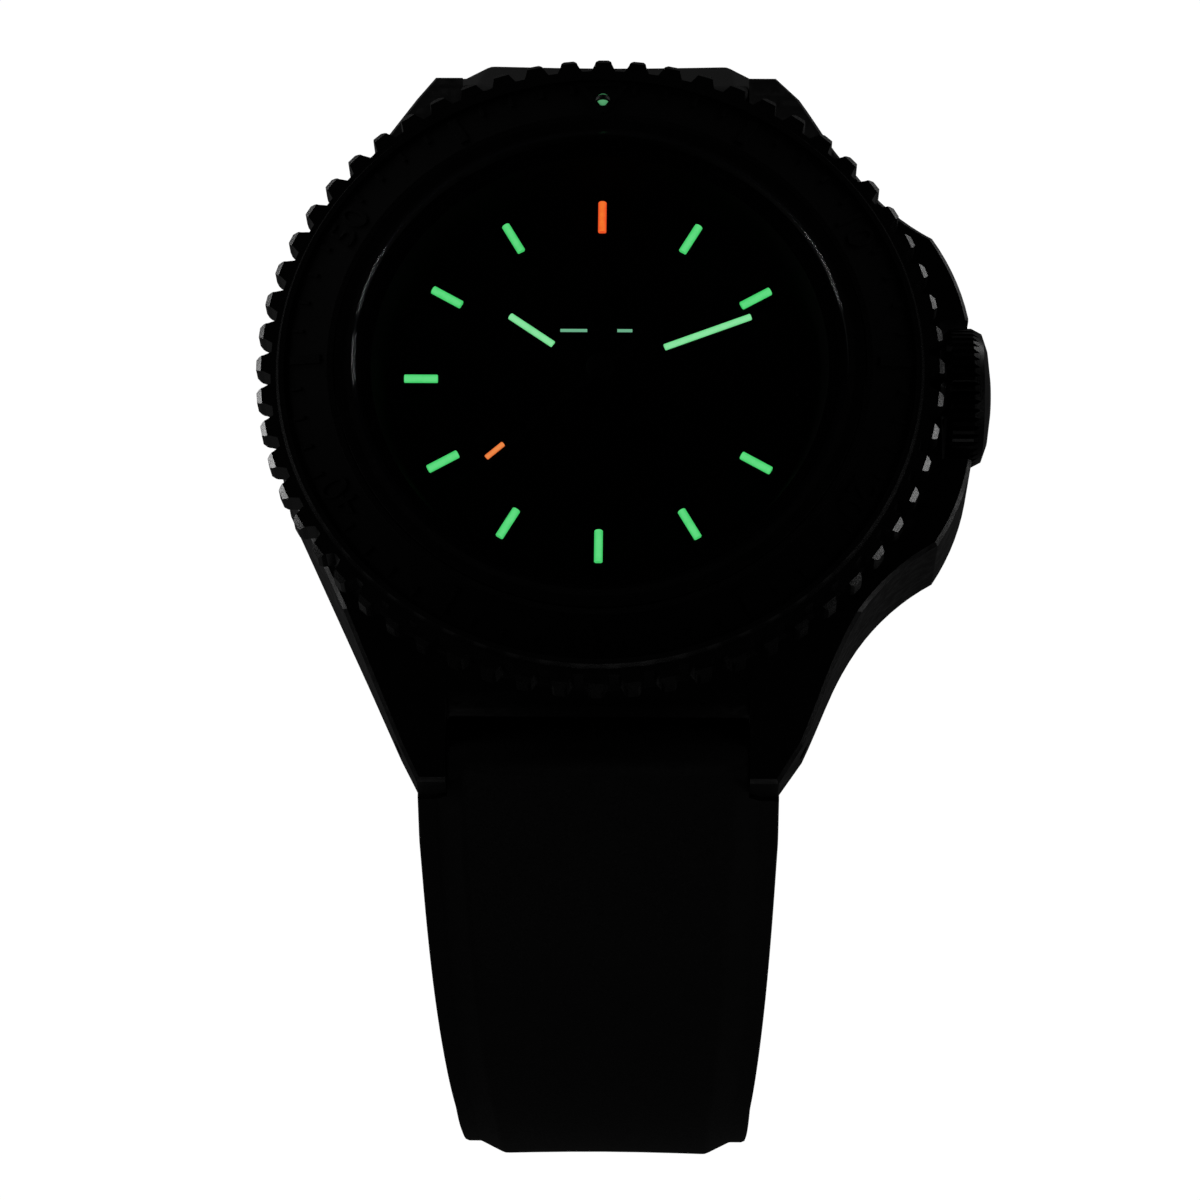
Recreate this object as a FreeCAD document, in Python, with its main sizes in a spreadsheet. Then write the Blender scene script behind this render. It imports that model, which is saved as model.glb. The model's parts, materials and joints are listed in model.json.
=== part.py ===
import FreeCAD, Part
import math
import os
import Sketcher
from FreeCAD import Placement, Rotation, Vector

# Dive watch, standing on its closed strap loop.
# +Z runs out of the dial, +Y to twelve o'clock, +X out of the crown.
# The origin is the middle of the case back's outer face. All sizes are millimetres.

SIZES = {
    "overrun": 1.0,
    # case middle and its neck
    "case_bottom": 0.6,
    "case_top": 8.0,
    "case_chamfer": 0.25,
    "neck_radius": 17.6,
    "neck_top": 12.9,
    "cavity_radius": 15.9,
    "lug_gap_half": 10.1,
    "lug_gap_start": 20.9,
    "lug_tip": 26.2,
    "lug_tip_top": 2.3,
    "lug_tip_bottom": -0.3,
    "lug_slope_start": 16.0,
    "lug_foot_start": 19.0,
    "bar_y": 23.6,
    "bar_z": 1.7,
    "bar_radius": 0.85,
    "bar_bore": 0.9,
    "bar_half": 9.85,
    "bar_pin_radius": 0.5,
    "bar_pin_bore": 0.55,
    "bar_pin_half": 11.4,
    # case back
    "back_radius": 19.0,
    "back_recess": 19.2,
    "back_seat": 1.5,
    "back_plug_radius": 15.6,
    "back_plug_top": 1.9,
    "back_chamfer": 0.4,
    "back_groove_inner": 16.2,
    "back_groove_outer": 17.0,
    "back_groove_top": 2.1,
    "back_seal_slack": 0.05,
    "screw_circle": 18.0,
    "screw_radius": 0.4,
    "screw_bore": 0.45,
    "screw_head_radius": 0.75,
    "screw_head_bore": 0.8,
    "screw_head_floor": 0.1,
    "screw_head_seat": 0.7,
    "screw_top": 3.4,
    "screw_slot_half": 0.1,
    "screw_slot_depth": 0.25,
    # crystal
    "crystal_seat": 12.1,
    "crystal_recess": 16.9,
    "crystal_radius": 16.45,
    "crystal_edge": 13.4,
    "crystal_shoulder": 16.1,
    "crystal_shoulder_z": 13.7,
    "crystal_dome_radius": 380.0,
    "crystal_top": 14.0,
    # flange ring and dial
    "rehaut_outer": 15.8,
    "rehaut_foot": 14.3,
    "rehaut_head": 15.2,
    "rehaut_top": 12.05,
    "dial_bottom": 8.3,
    "dial_top": 8.7,
    "dial_radius": 15.7,
    "dial_hole": 1.15,
    "window_centre": 12.05,
    "window_half_x": 1.2,
    "window_half_y": 0.95,
    "window_border": 0.25,
    "window_frame_top": 8.82,
    "dash_y": 3.85,
    "dash_half_height": 0.1,
    "dash_top": 8.76,
    "dash_left_start": -2.75,
    "dash_left_end": -0.94,
    "dash_right_start": 1.09,
    "dash_right_end": 2.1,
    # glowing tubes
    "marker_height": 9.3,
    "marker_circle": 12.02,
    "marker_length": 2.25,
    "marker_radius": 0.28,
    "cradle_half_width": 0.4,
    "cradle_half_length": 1.35,
    "cradle_top": 9.2,
    "cradle_groove": 0.3,
    "tube_end_chamfer": 0.04,
    # hands
    "hour_plate_bottom": 9.5,
    "hour_plate_top": 9.68,
    "hour_tip": 8.2,
    "hour_half_width": 0.62,
    "hour_tail": 2.4,
    "hour_tube_start": 3.9,
    "hour_tube_end": 7.5,
    "hour_tube_radius": 0.23,
    "minute_plate_bottom": 10.4,
    "minute_plate_top": 10.56,
    "minute_tip": 11.6,
    "minute_half_width": 0.55,
    "minute_tail": 2.6,
    "minute_tube_start": 4.6,
    "minute_tube_end": 10.8,
    "minute_tube_radius": 0.22,
    "second_plate_bottom": 11.25,
    "second_plate_top": 11.4,
    "second_tip": 10.6,
    "second_half_width": 0.28,
    "second_tail": 4.2,
    "second_tube_start": 8.5,
    "second_tube_end": 10.0,
    "second_tube_radius": 0.18,
    "tube_wall_half": 0.12,
    "tube_bed_gap": 0.02,
    "tube_lift": 0.04,
    "second_arbor": 0.3,
    "minute_pipe_inner": 0.37,
    "minute_pipe_outer": 0.62,
    "hour_pipe_inner": 0.69,
    "hour_pipe_outer": 1.0,
    "hub_extra": 0.7,
    # rotating bezel
    "bezel_bottom": 8.15,
    "bezel_bore": 17.7,
    "bezel_root": 21.9,
    "bezel_tip": 22.9,
    "bezel_shoulder": 22.7,
    "bezel_flank": 22.4,
    "bezel_band_bottom": 9.6,
    "bezel_band_top": 11.75,
    "bezel_bevel": 0.35,
    "bezel_teeth": 60,
    "bezel_rim_top": 12.2,
    "bezel_rim_radius": 21.35,
    "insert_outer": 21.0,
    "insert_inner": 18.1,
    "insert_floor_outer": 11.75,
    "insert_floor_inner": 12.2,
    "insert_top_outer": 12.1,
    "insert_top_inner": 12.6,
    "bezel_lip_top": 12.7,
    "pearl_radius": 0.43,
    "pearl_circle": 19.4,
    "pearl_height": 12.3,
    "pearl_pocket": 0.5,
    "pearl_depth": 12.02,
    "wire_bottom": 10.05,
    "wire_top": 10.45,
    "wire_inner": 17.3,
    "wire_outer": 17.95,
    "wire_groove": 17.25,
    "wire_groove_bottom": 10.0,
    "wire_groove_top": 10.5,
    "wire_pocket": 18.15,
    "wire_pocket_bottom": 9.9,
    "wire_pocket_top": 10.65,
    "wire_gap_half": 1.5,
    "seal_bottom": 8.65,
    "seal_top": 9.15,
    "seal_inner": 17.15,
    "seal_outer": 17.58,
    "seal_groove": 17.1,
    "seal_groove_bottom": 8.6,
    "seal_groove_top": 9.2,
    "click_inner": 18.6,
    "click_outer": 20.6,
    "click_top": 8.2,
    "click_finger_top": 8.55,
    "click_finger_half": 0.5,
    "click_pocket_inner": 18.4,
    "click_pocket_outer": 20.9,
    "click_pocket_top": 8.75,
    # crown, tube and stem
    "stem_height": 6.4,
    "stem_radius": 0.55,
    "stem_start": 8.2,
    "tube_start": 15.95,
    "tube_end": 25.2,
    "tube_outer": 1.4,
    "tube_inner": 0.63,
    "crown_start": 23.1,
    "crown_end": 26.2,
    "crown_radius": 4.7,
    "crown_root": 4.48,
    "crown_knurls": 48,
    "crown_corner": 0.8,
    "crown_face_radius": 3.3,
    "crown_hollow_radius": 1.95,
    "crown_hollow_end": 25.3,
    "stem_grip": 0.5,
    "crown_seal_start": 23.2,
    "crown_seal_end": 23.7,
    "crown_seal_inner": 1.45,
    "crown_seal_outer": 1.95,
    "crown_pocket_start": 22.85,
    "crown_pocket_half": 5.1,
    "clutch_start": 9.6,
    "clutch_end": 11.4,
    "clutch_radius": 0.98,
    "clutch_bore": 0.61,
    "clutch_teeth": 14,
    "clutch_root": 0.85,
    # movement
    "holder_inner": 13.3,
    "holder_outer": 15.7,
    "holder_bottom": 2.0,
    "holder_slot": 1.3,
    "plate_bottom": 5.2,
    "plate_top": 7.2,
    "plate_radius": 13.2,
    "plate_slot_start": 7.6,
    "plate_slot_half": 1.5,
    "plate_hole": 0.7,
    "pivot_bore": 0.26,
    "arbor_radius": 0.2,
    "pivot_top": 5.6,
    "pivot_bottom": 2.05,
    "pivot_bore_top": 5.7,
    "bridge_bottom": 2.0,
    "bridge_top": 2.3,
    "bridge_left": -7.6,
    "bridge_right": 5.4,
    "bridge_front": -5.2,
    "bridge_rear": 2.9,
    "pillar_radius": 0.5,
    "battery_x": -4.6,
    "battery_y": 7.05,
    "battery_radius": 4.7,
    "battery_bottom": 2.4,
    "battery_top": 4.5,
    "battery_cap_radius": 3.9,
    "battery_step": 4.3,
    "board_left": 2.0,
    "board_right": 10.4,
    "board_front": 3.6,
    "board_rear": 7.6,
    "board_bottom": 4.6,
    "board_top": 4.9,
    "chip_left": 3.0,
    "chip_side": 2.6,
    "chip_height": 0.8,
    "chip_front": 4.3,
    "quartz_x": 8.6,
    "quartz_radius": 0.75,
    "quartz_length": 3.6,
    "stator_bottom": 3.7,
    "stator_top": 4.0,
    "stator_half": 5.5,
    "stator_front": -5.4,
    "stator_rear": -2.35,
    "stator_bore": 1.15,
    "leg_width": 1.1,
    "leg_front": -9.0,
    "core_front": -8.9,
    "core_rear": -7.9,
    "core_top": 4.4,
    "coil_radius": 0.95,
    "coil_half": 3.9,
    "coil_core_clearance": 0.02,
    # wheels
    "second_wheel_bottom": 2.9,
    "second_wheel_top": 3.1,
    "second_pinion_top": 3.8,
    "arbor_shoulder": 4,
    "third_wheel_bottom": 3.3,
    "third_wheel_top": 3.5,
    "third_pinion_bottom": 3.95,
    "third_pinion_top": 4.5,
    "centre_wheel_bottom": 4.1,
    "centre_wheel_top": 4.3,
    "between_wheel_bottom": 2.45,
    "between_wheel_top": 2.6,
    "between_pinion_top": 3.2,
    "rotor_pinion_bottom": 2.4,
    "rotor_pinion_top": 2.75,
    "magnet_radius": 0.9,
    "magnet_bottom": 3.45,
    "magnet_top": 4.2,
    "cannon_bottom": 7.3,
    "cannon_top": 7.75,
    "minute_wheel_bottom": 7.35,
    "minute_wheel_top": 7.55,
    "minute_pinion_top": 8.15,
    "hour_wheel_bottom": 7.9,
    "hour_wheel_top": 8.1,
    "stud_radius": 0.25,
    "stud_top": 8.2,
    "stud_bore": 0.31,
    "date_inner": 9.9,
    "date_tooth": 0.4,
    "date_outer": 13.15,
    "date_bottom": 7.55,
    "date_top": 7.75,
    "date_teeth": 31,
    # strap loop
    "strap_lug_angle": 57.5,
    "strap_straight": 11.5,
    "strap_side_radius": 55.0,
    "strap_side_angle": 100.0,
    "strap_corner_radius": 18.0,
    "strap_corner_angle": 155.0,
    "strap_head_radius": 2.2,
    "strap_thin": 3.0,
    "strap_thin_from": 38.0,
    "strap_lug_half": 12.1,
    "strap_waist_half": 10.75,
    "strap_hem_half": 10.6,
    "strap_end_half": 10.0,
    "strap_taper_top": -3.0,
    "strap_waist_z": -34.0,
    "strap_hem_z": -52.0,
    "strap_taper_bottom": -61.0,
    "strap_lug_clear": 26.5,
    "strap_lug_clear_start": 16.9,
    "strap_lug_clear_width": 6.0,
    "strap_lug_clear_low": -3.3,
    "strap_lug_clear_high": 9.0,
    "strap_curve_step": 3.0,
    "strap_head_half": 9.85,
    "strap_layer_gap": 0.35,
    "strap_tail": 34.0,
    "strap_ramp_end": 9.0,
    "strap_ramp_start": -1.5,
    # buckle
    "buckle_bar_at": 8.0,
    "buckle_bar_radius": 0.7,
    "buckle_bar_bore": 0.75,
    "buckle_rail_at": -7.5,
    "buckle_rail_height": 2.1,
    "buckle_rail_radius": 1.5,
    "buckle_arm_radius": 1.0,
    "buckle_groove_floor": 2.15,
    "buckle_inner_half": 10.4,
    "buckle_outer_half": 12.2,
    "buckle_pin_half": 11.6,
    "buckle_pin_bore": 0.72,
    "tongue_half": 0.85,
    "tongue_thick": 0.45,
    "tongue_knee_at": -4.5,
    "tongue_knee_rise": 2.55,
    "tongue_tip_at": -8.6,
    "tongue_tip_rise": 2.95,
    "tongue_eye": 1.35,
    "tongue_bore": 0.76,
    "tongue_slot_half": 1.2,
    "tongue_slot_start": -0.8,
    "tongue_slot_end": 7.0,
    "tongue_notch_half": 1.1,
    "tongue_notch_end": 2.2,
    "keeper_length": 5.0,
    "keeper_wall": 1.2,
    "keeper_clear": 0.25,
    "fixed_keeper_at": 14.5,
    "free_keeper_at": 22.3,
}

# Gear teeth: count and module in millimetres.
CANNON_PINION = (10, 0.16)
MINUTE_WHEEL = (30, 0.16)
MINUTE_PINION = (8, 0.16)
HOUR_WHEEL = (32, 0.16)
SECOND_WHEEL = (48, 0.122)
SECOND_PINION = (8, 0.1)
THIRD_WHEEL = (60, 0.1)
THIRD_PINION = (8, 3.4 * 2 / 72)
CENTRE_WHEEL = (64, 3.4 * 2 / 72)
BETWEEN_WHEEL = (30, 0.1)
BETWEEN_PINION = (8, 0.122)
ROTOR_PINION = (6, 0.1)

# Where each arbor stands round the hand axis, degrees from the crown.
THIRD_ANGLE = 200.0
BETWEEN_ANGLE = -37.0
ROTOR_ANGLE = -75.0
STUD_ANGLE = 100.0

# Hand positions at rest, degrees anticlockwise from the crown: 10:11 and 38 seconds.
HOUR_AT = 144.6
MINUTE_AT = 21.5
SECOND_AT = 222.0

# Share of half a pitch that a wheel tooth fills on the pitch circle, for running backlash.
GEAR_FILL = 0.8
# Wheel tooth flank from root to tip: height in modules and half width as a share.
GEAR_FLANK = [(-1.05, 1.25), (0.0, 1.0), (0.75, 0.45)]
# Half width of a date tooth at its root and tip, as a share of the pitch.
DATE_TOOTH = (0.3, 0.12)
# Half width of a knurl across its crest, as a share of the pitch.
KNURL_CREST = 0.2
# Crown rim and face: steps back from the outer end and in from the radius, in corner sizes.
CROWN_RIM = [(1.6, 0.0), (0.75, 0.45)]
CROWN_FACE_EDGE = 0.3
CROWN_FLAT_SHARE = 0.45

# Half width of a bezel tooth at four radii, as a share of the pitch.
TOOTH_HALF = [("bezel_root", 0.36), ("bezel_flank", 0.25), ("bezel_shoulder", 0.21),
              ("bezel_tip", 0.14)]

# Half of the case outline seen from above, from the crown to the lug tip.
CROWN_GUARD_CORNER = (24.8, 5.3)
CROWN_GUARD_BULGE = (23.95, 8.3)
SHOULDER_CORNER = (22.45, 11.25)
SWEEP = [SHOULDER_CORNER, (20.3, 12.75), (17.65, 15.6), (16.05, 18.3), (14.9, 20.9), (13.6, 23.9)]
CROWN_SIDE_LUG = (12.0, 26.2)
FAR_FLANK = (-21.2, 6.5)
FAR_LUG_KNEE = (-13.2, 23.9)
FAR_SIDE_LUG = (-12.0, 26.2)

BRIDGE_PILLARS = [(4.6, 2.1), (-6.9, -2.7)]
SCREW_COUNT = 6
HOURS = 12
SPOKES = 4
# Lightening holes of a wheel, as shares of its pitch radius.
SPOKE_CIRCLE = 0.58
SPOKE_HOLE = 0.2
# Width of a hand's blunt nose as a share of the hand's.
HAND_NOSE = 0.3
DATE_HOUR = 3
AXIS_Z = Vector(0, 0, 1)
AXIS_X = Vector(1, 0, 0)
AXIS_Y = Vector(0, 1, 0)
ALONG_X = Rotation(Vector(0, 1, 0), 90)
ALONG_Y = Rotation(Vector(1, 0, 0), -90)


class Size:
    """A length with the expression that drives it."""

    def __init__(self, text, mm):
        self.text = text
        self.mm = mm

    def joined(self, sign, other, mm):
        right = other.text if isinstance(other, Size) else str(other)
        return Size("(" + self.text + " " + sign + " " + right + ")", mm)

    def __add__(self, other):
        return self.joined("+", other, self.mm + plain(other))

    def __sub__(self, other):
        return self.joined("-", other, self.mm - plain(other))

    def __mul__(self, factor):
        return self.joined("*", factor, self.mm * factor)

    def __neg__(self):
        return self * -1


def plain(value):
    return value.mm if isinstance(value, Size) else value


doc = FreeCAD.newDocument("dive_watch")
sheet = doc.addObject("Spreadsheet::Sheet", "sizes")
for row, (alias, value) in enumerate(SIZES.items(), start=1):
    sheet.set("A" + str(row), alias)
    sheet.set("B" + str(row), str(value))
    sheet.setAlias("B" + str(row), alias)
doc.recompute()


def size(alias):
    """One driving size, read back from the sheet."""
    return Size("sizes." + alias, float(getattr(sheet, alias)))


def mm(alias):
    return size(alias).mm


def bind(item, prop, value):
    item.setExpression(prop, value.text)


def place(item, x, y, z):
    for axis, value in zip("xyz", (x, y, z)):
        if isinstance(value, Size):
            bind(item, "Placement.Base." + axis, value)


# ---- building blocks -------------------------------------------------------

def drum(label, radius, bottom, top, x=None, y=None):
    """Upright cylinder."""
    item = doc.addObject("Part::Cylinder", label)
    bind(item, "Radius", radius)
    bind(item, "Height", top - bottom)
    place(item, x, y, bottom)
    return item


def rod(label, radius, start, end, y, z):
    """Cylinder lying along X."""
    item = doc.addObject("Part::Cylinder", label)
    item.Placement = Placement(Vector(), ALONG_X)
    bind(item, "Radius", radius)
    bind(item, "Height", end - start)
    place(item, start, y, z)
    return item


def block(label, start, end):
    """Box between two corners."""
    item = doc.addObject("Part::Box", label)
    for prop, low, high in zip(("Length", "Width", "Height"), start, end):
        bind(item, prop, high - low)
    place(item, *start)
    return item


def join(label, items):
    item = doc.addObject("Part::MultiFuse", label)
    item.Shapes = items
    return item


def group(label, items):
    item = doc.addObject("Part::Compound", label)
    item.Links = items
    return item


def cut(label, base, tools):
    item = doc.addObject("Part::Cut", label)
    item.Base = base
    item.Tool = tools[0] if len(tools) == 1 else join(label + "_cutters", tools)
    return item


def overlap(label, first, second):
    item = doc.addObject("Part::Common", label)
    item.Base = first
    item.Tool = second
    return item


def ring(label, outer, inner, bottom, top):
    over = size("overrun")
    solid = drum(label + "_disc", outer, bottom, top)
    bore = drum(label + "_bore", inner, bottom - over, top + over)
    return cut(label, solid, [bore])


def sleeve(label, outer, inner, start, end, y, z):
    """Tube lying along X."""
    over = size("overrun")
    solid = rod(label + "_bar", outer, start, end, y, z)
    bore = rod(label + "_bore", inner, start - over, end + over, y, z)
    return cut(label, solid, [bore])


def turned(label, profile):
    """Ring or disc turned about the hand axis from (radius, height) corners."""
    body = doc.addObject("PartDesign::Body", label)
    sketch = body.newObject("Sketcher::SketchObject", label + "_profile")
    sketch.AttachmentSupport = [(body.Origin.OriginFeatures[4], "")]
    sketch.MapMode = "FlatFace"
    corners = [Vector(plain(r), plain(z), 0) for r, z in profile]
    count = len(corners)
    for n in range(count):
        sketch.addGeometry(Part.LineSegment(corners[n], corners[(n + 1) % count]), False)
    for n in range(count):
        sketch.addConstraint(Sketcher.Constraint("Coincident", n, 2, (n + 1) % count, 1))
    for n, (radius, height) in enumerate(profile):
        for kind, value in (("DistanceX", radius), ("DistanceY", height)):
            if isinstance(value, Size):
                index = sketch.addConstraint(
                    Sketcher.Constraint(kind, -1, 1, n, 1, value.mm))
                sketch.setExpression("Constraints[" + str(index) + "]", value.text)
            else:
                line = -2 if kind == "DistanceX" else -1
                sketch.addConstraint(Sketcher.Constraint("PointOnObject", n, 1, line))
    turn = body.newObject("PartDesign::Revolution", label + "_turn")
    turn.Profile = sketch
    turn.ReferenceAxis = (sketch, ["V_Axis"])
    turn.Angle = 360
    return body


def made(label, shape):
    """A solid made from curves that no primitive gives."""
    item = doc.addObject("Part::Feature", label)
    item.Shape = shape
    return item


def polar(radius, degrees):
    angle = math.radians(degrees)
    return (radius * math.cos(angle), radius * math.sin(angle))


def prism(points, bottom, top):
    """Upright solid over a closed outline of (x, y) points."""
    corners = [Vector(x, y, bottom) for x, y in points]
    face = Part.Face(Part.makePolygon(corners + corners[:1]))
    return face.extrude(AXIS_Z * (top - bottom))


def turned_to(shape, degrees):
    shape.rotate(Vector(), AXIS_Z, degrees)
    return shape


def upright(radius, bottom, top, x=0.0, y=0.0):
    return Part.makeCylinder(radius, top - bottom, Vector(x, y, bottom))


# ---- gear teeth ------------------------------------------------------------

def gear_outline(teeth, module):
    """Slim trapezoid teeth with running backlash; one tooth points along +X."""
    pitch = teeth * module / 2
    half = GEAR_FILL * math.pi / teeth / 2
    flank = [(pitch + height * module, share * half) for height, share in GEAR_FLANK]
    corners = [(radius, -angle) for radius, angle in flank] + flank[::-1]
    outline = []
    for tooth in range(teeth):
        middle = 2 * math.pi * tooth / teeth
        for radius, angle in corners:
            outline.append(polar(radius, math.degrees(middle + angle)))
    return outline


def gear(spec, bottom, top, centre=(0.0, 0.0), phase=0.0):
    shape = turned_to(prism(gear_outline(*spec), bottom, top), phase)
    shape.translate(Vector(centre[0], centre[1], 0))
    return shape


def centre_distance(first, second):
    return (first[0] * first[1] + second[0] * second[1]) / 2


def meshing_phase(driver, driver_phase, driven, bearing):
    """Phase that puts a gap of the driven wheel opposite the driver's tooth.

    bearing is the direction from the driver to the driven wheel.
    """
    offset = (bearing - driver_phase) / (360.0 / driver[0])
    turned_part = offset - math.floor(offset)
    return bearing + 180.0 + (turned_part + 0.5) * 360.0 / driven[0]


# ---- case ------------------------------------------------------------------

def mirrored(point):
    return Vector(point[0], -point[1], 0)


def at(point):
    return Vector(point[0], point[1], 0)


def half_outline(spot):
    """Edges of the outline on one side of the crown axis."""
    guard = Part.LineSegment(spot((CROWN_GUARD_CORNER[0], 0.0)), spot(CROWN_GUARD_CORNER))
    bulge = Part.Arc(spot(CROWN_GUARD_CORNER), spot(CROWN_GUARD_BULGE), spot(SHOULDER_CORNER))
    sweep = Part.BSplineCurve()
    sweep.interpolate([spot(point) for point in SWEEP])
    corners = [SWEEP[-1], CROWN_SIDE_LUG, FAR_SIDE_LUG, FAR_LUG_KNEE, FAR_FLANK,
               (FAR_FLANK[0], 0.0)]
    lines = [Part.LineSegment(spot(a), spot(b)) for a, b in zip(corners, corners[1:])]
    return [curve.toShape() for curve in [guard, bulge, sweep] + lines]


def case_blank():
    """Outline prism cut to the side view, with softened top edges."""
    edges = half_outline(at) + half_outline(mirrored)
    wire = Part.Wire(Part.__sortEdges__(edges))
    over = mm("overrun")
    top = mm("case_top")
    wire.translate(Vector(0, 0, mm("lug_tip_bottom") - over))
    tall = Part.Face(wire).extrude(AXIS_Z * (top - mm("lug_tip_bottom") + 2 * over))
    tip = mm("lug_tip") + over
    slope = mm("lug_slope_start")
    foot = mm("lug_foot_start")
    side = [(-tip, mm("lug_tip_bottom")), (-tip, mm("lug_tip_top")), (-slope, top), (slope, top),
            (tip, mm("lug_tip_top")), (tip, mm("lug_tip_bottom")),
            (foot, mm("case_bottom")), (-foot, mm("case_bottom"))]
    reach = CROWN_GUARD_CORNER[0] + over
    corners = [Vector(-reach, y, z) for y, z in side]
    profile = Part.Face(Part.makePolygon(corners + corners[:1]))
    blank = tall.common(profile.extrude(AXIS_X * (2 * reach)))
    top_edges = [edge for edge in blank.Edges if is_top_edge(edge)]
    return blank.makeChamfer(mm("case_chamfer"), top_edges)


def is_top_edge(edge):
    """True for outline edges of the flat top and of the sloping lug tops."""
    box = edge.BoundBox
    inner = math.hypot(edge.CenterOfMass.x, edge.CenterOfMass.y) < mm("neck_radius")
    slope_line = box.YLength < 0.001 and abs(abs(box.YMax) - mm("lug_slope_start")) < 0.001
    high = box.ZMin > mm("lug_tip_top") - 0.01
    upright_edge = box.XLength + box.YLength < 0.001
    return high and not inner and not slope_line and not upright_edge


def case_middle():
    over = size("overrun")
    half = size("lug_gap_half")
    start = size("lug_gap_start")
    far = size("lug_tip") + over
    low = size("lug_tip_bottom") - over
    high = size("case_top") + over
    blank = made("case_blank", case_blank())
    neck = drum("case_neck", size("neck_radius"), size("case_top") - over, size("neck_top"))
    solid = join("case_solid", [blank, neck])
    height = size("stem_height")
    cuts = [
        drum("case_cavity", size("cavity_radius"), low, size("neck_top") + over),
        drum("case_glass_recess", size("crystal_recess"), size("crystal_seat"),
             size("neck_top") + over),
        drum("case_back_recess", size("back_recess"), low, size("back_seat")),
        ring("case_back_groove", size("back_groove_outer"), size("back_groove_inner"),
             size("back_seat") - over, size("back_groove_top")),
        ring("case_wire_groove", size("bezel_root"), size("wire_groove"),
             size("wire_groove_bottom"), size("wire_groove_top")),
        ring("case_seal_groove", size("bezel_root"), size("seal_groove"),
             size("seal_groove_bottom"), size("seal_groove_top")),
        block("case_gap_twelve", (-half, start, low), (half, far, high)),
        block("case_gap_six", (-half, -far, low), (half, -start, high)),
        block("case_crown_pocket", (size("crown_pocket_start"), -size("crown_pocket_half"), low),
              (size("crown_end"), size("crown_pocket_half"), high)),
        rod("case_tube_bore", size("tube_outer"), size("holder_inner"), size("crown_end"),
            None, height),
    ]
    lug_span = size("lug_gap_half") + size("lug_gap_half")
    for name, y in (("twelve", size("bar_y")), ("six", -size("bar_y"))):
        cuts.append(rod("case_bar_bore_" + name, size("bar_pin_bore"), -lug_span, lug_span,
                        y, size("bar_z")))
    for n in range(SCREW_COUNT):
        x, y = screw_spot(n)
        cuts.append(drum("case_screw_bore_" + str(n), size("screw_bore"), low,
                         size("screw_top") + size("screw_head_floor"), x, y))
    return cut("case_middle", solid, cuts)


def screw_spot(number):
    """Centre of one case-back screw."""
    angle = math.radians((number + 0.5) * 360.0 / SCREW_COUNT)
    circle = size("screw_circle")
    return circle * round(math.cos(angle), 6), circle * round(math.sin(angle), 6)


def case_back():
    chamfer = size("back_chamfer")
    radius = size("back_radius")
    seat = size("back_seat")
    plug = size("back_plug_radius")
    top = size("back_plug_top")
    disc = turned("case_back_disc", [(0, 0), (radius - chamfer, 0), (radius, chamfer),
                                     (radius, seat), (plug, seat), (plug, top), (0, top)])
    over = size("overrun")
    cuts = []
    for n in range(SCREW_COUNT):
        x, y = screw_spot(n)
        cuts.append(drum("back_screw_bore_" + str(n), size("screw_bore"), -over,
                         seat + over, x, y))
        cuts.append(drum("back_screw_seat_" + str(n), size("screw_head_bore"), -over,
                         size("screw_head_seat"), x, y))
    return cut("case_back", disc, cuts)


def case_back_screws():
    screws = []
    over = size("overrun")
    floor = size("screw_head_floor")
    slot = size("screw_slot_half")
    reach = size("screw_head_radius") + over
    for n in range(SCREW_COUNT):
        x, y = screw_spot(n)
        name = "screw_" + str(n)
        head = drum(name + "_head", size("screw_head_radius"), floor, size("screw_head_seat"), x, y)
        shank = drum(name + "_shank", size("screw_radius"), floor, size("screw_top"), x, y)
        groove = block(name + "_slot", (x - slot, y - reach, floor - over),
                       (x + slot, y + reach, floor + size("screw_slot_depth")))
        screws.append(cut(name, join(name + "_blank", [head, shank]), [groove]))
    return group("case_back_screws", screws)


def case_seals():
    slack = size("back_seal_slack")
    ring("case_back_gasket", size("back_groove_outer") - slack, size("back_groove_inner") + slack,
         size("back_seat"), size("back_groove_top") - slack)
    ring("bezel_gasket", size("seal_outer"), size("seal_inner"), size("seal_bottom"),
         size("seal_top"))
    ring("crystal_gasket", size("crystal_recess"), size("crystal_radius"), size("crystal_seat"),
         size("neck_top"))


def crystal():
    """Thick glass with a bevelled rim and a very shallow dome."""
    edge = size("crystal_radius")
    plate = turned("crystal_plate", [
        (0, size("crystal_seat")), (edge, size("crystal_seat")), (edge, size("crystal_edge")),
        (size("crystal_shoulder"), size("crystal_shoulder_z")),
        (size("crystal_shoulder"), size("crystal_top")), (0, size("crystal_top"))])
    ball = doc.addObject("Part::Sphere", "crystal_dome")
    bind(ball, "Radius", size("crystal_dome_radius"))
    place(ball, None, None, size("crystal_top") - size("crystal_dome_radius"))
    return overlap("crystal", plate, ball)


# ---- dial ------------------------------------------------------------------

def rehaut():
    outer = size("rehaut_outer")
    return turned("rehaut_ring", [
        (size("rehaut_foot"), size("dial_top")), (outer, size("dial_top")),
        (outer, size("rehaut_top")), (size("rehaut_head"), size("rehaut_top"))])


def window_block(label, grow, bottom, top):
    middle = size("window_centre")
    half_x = size("window_half_x") + grow
    half_y = size("window_half_y") + grow
    return block(label, (middle - half_x, -half_y, bottom), (middle + half_x, half_y, top))


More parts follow.
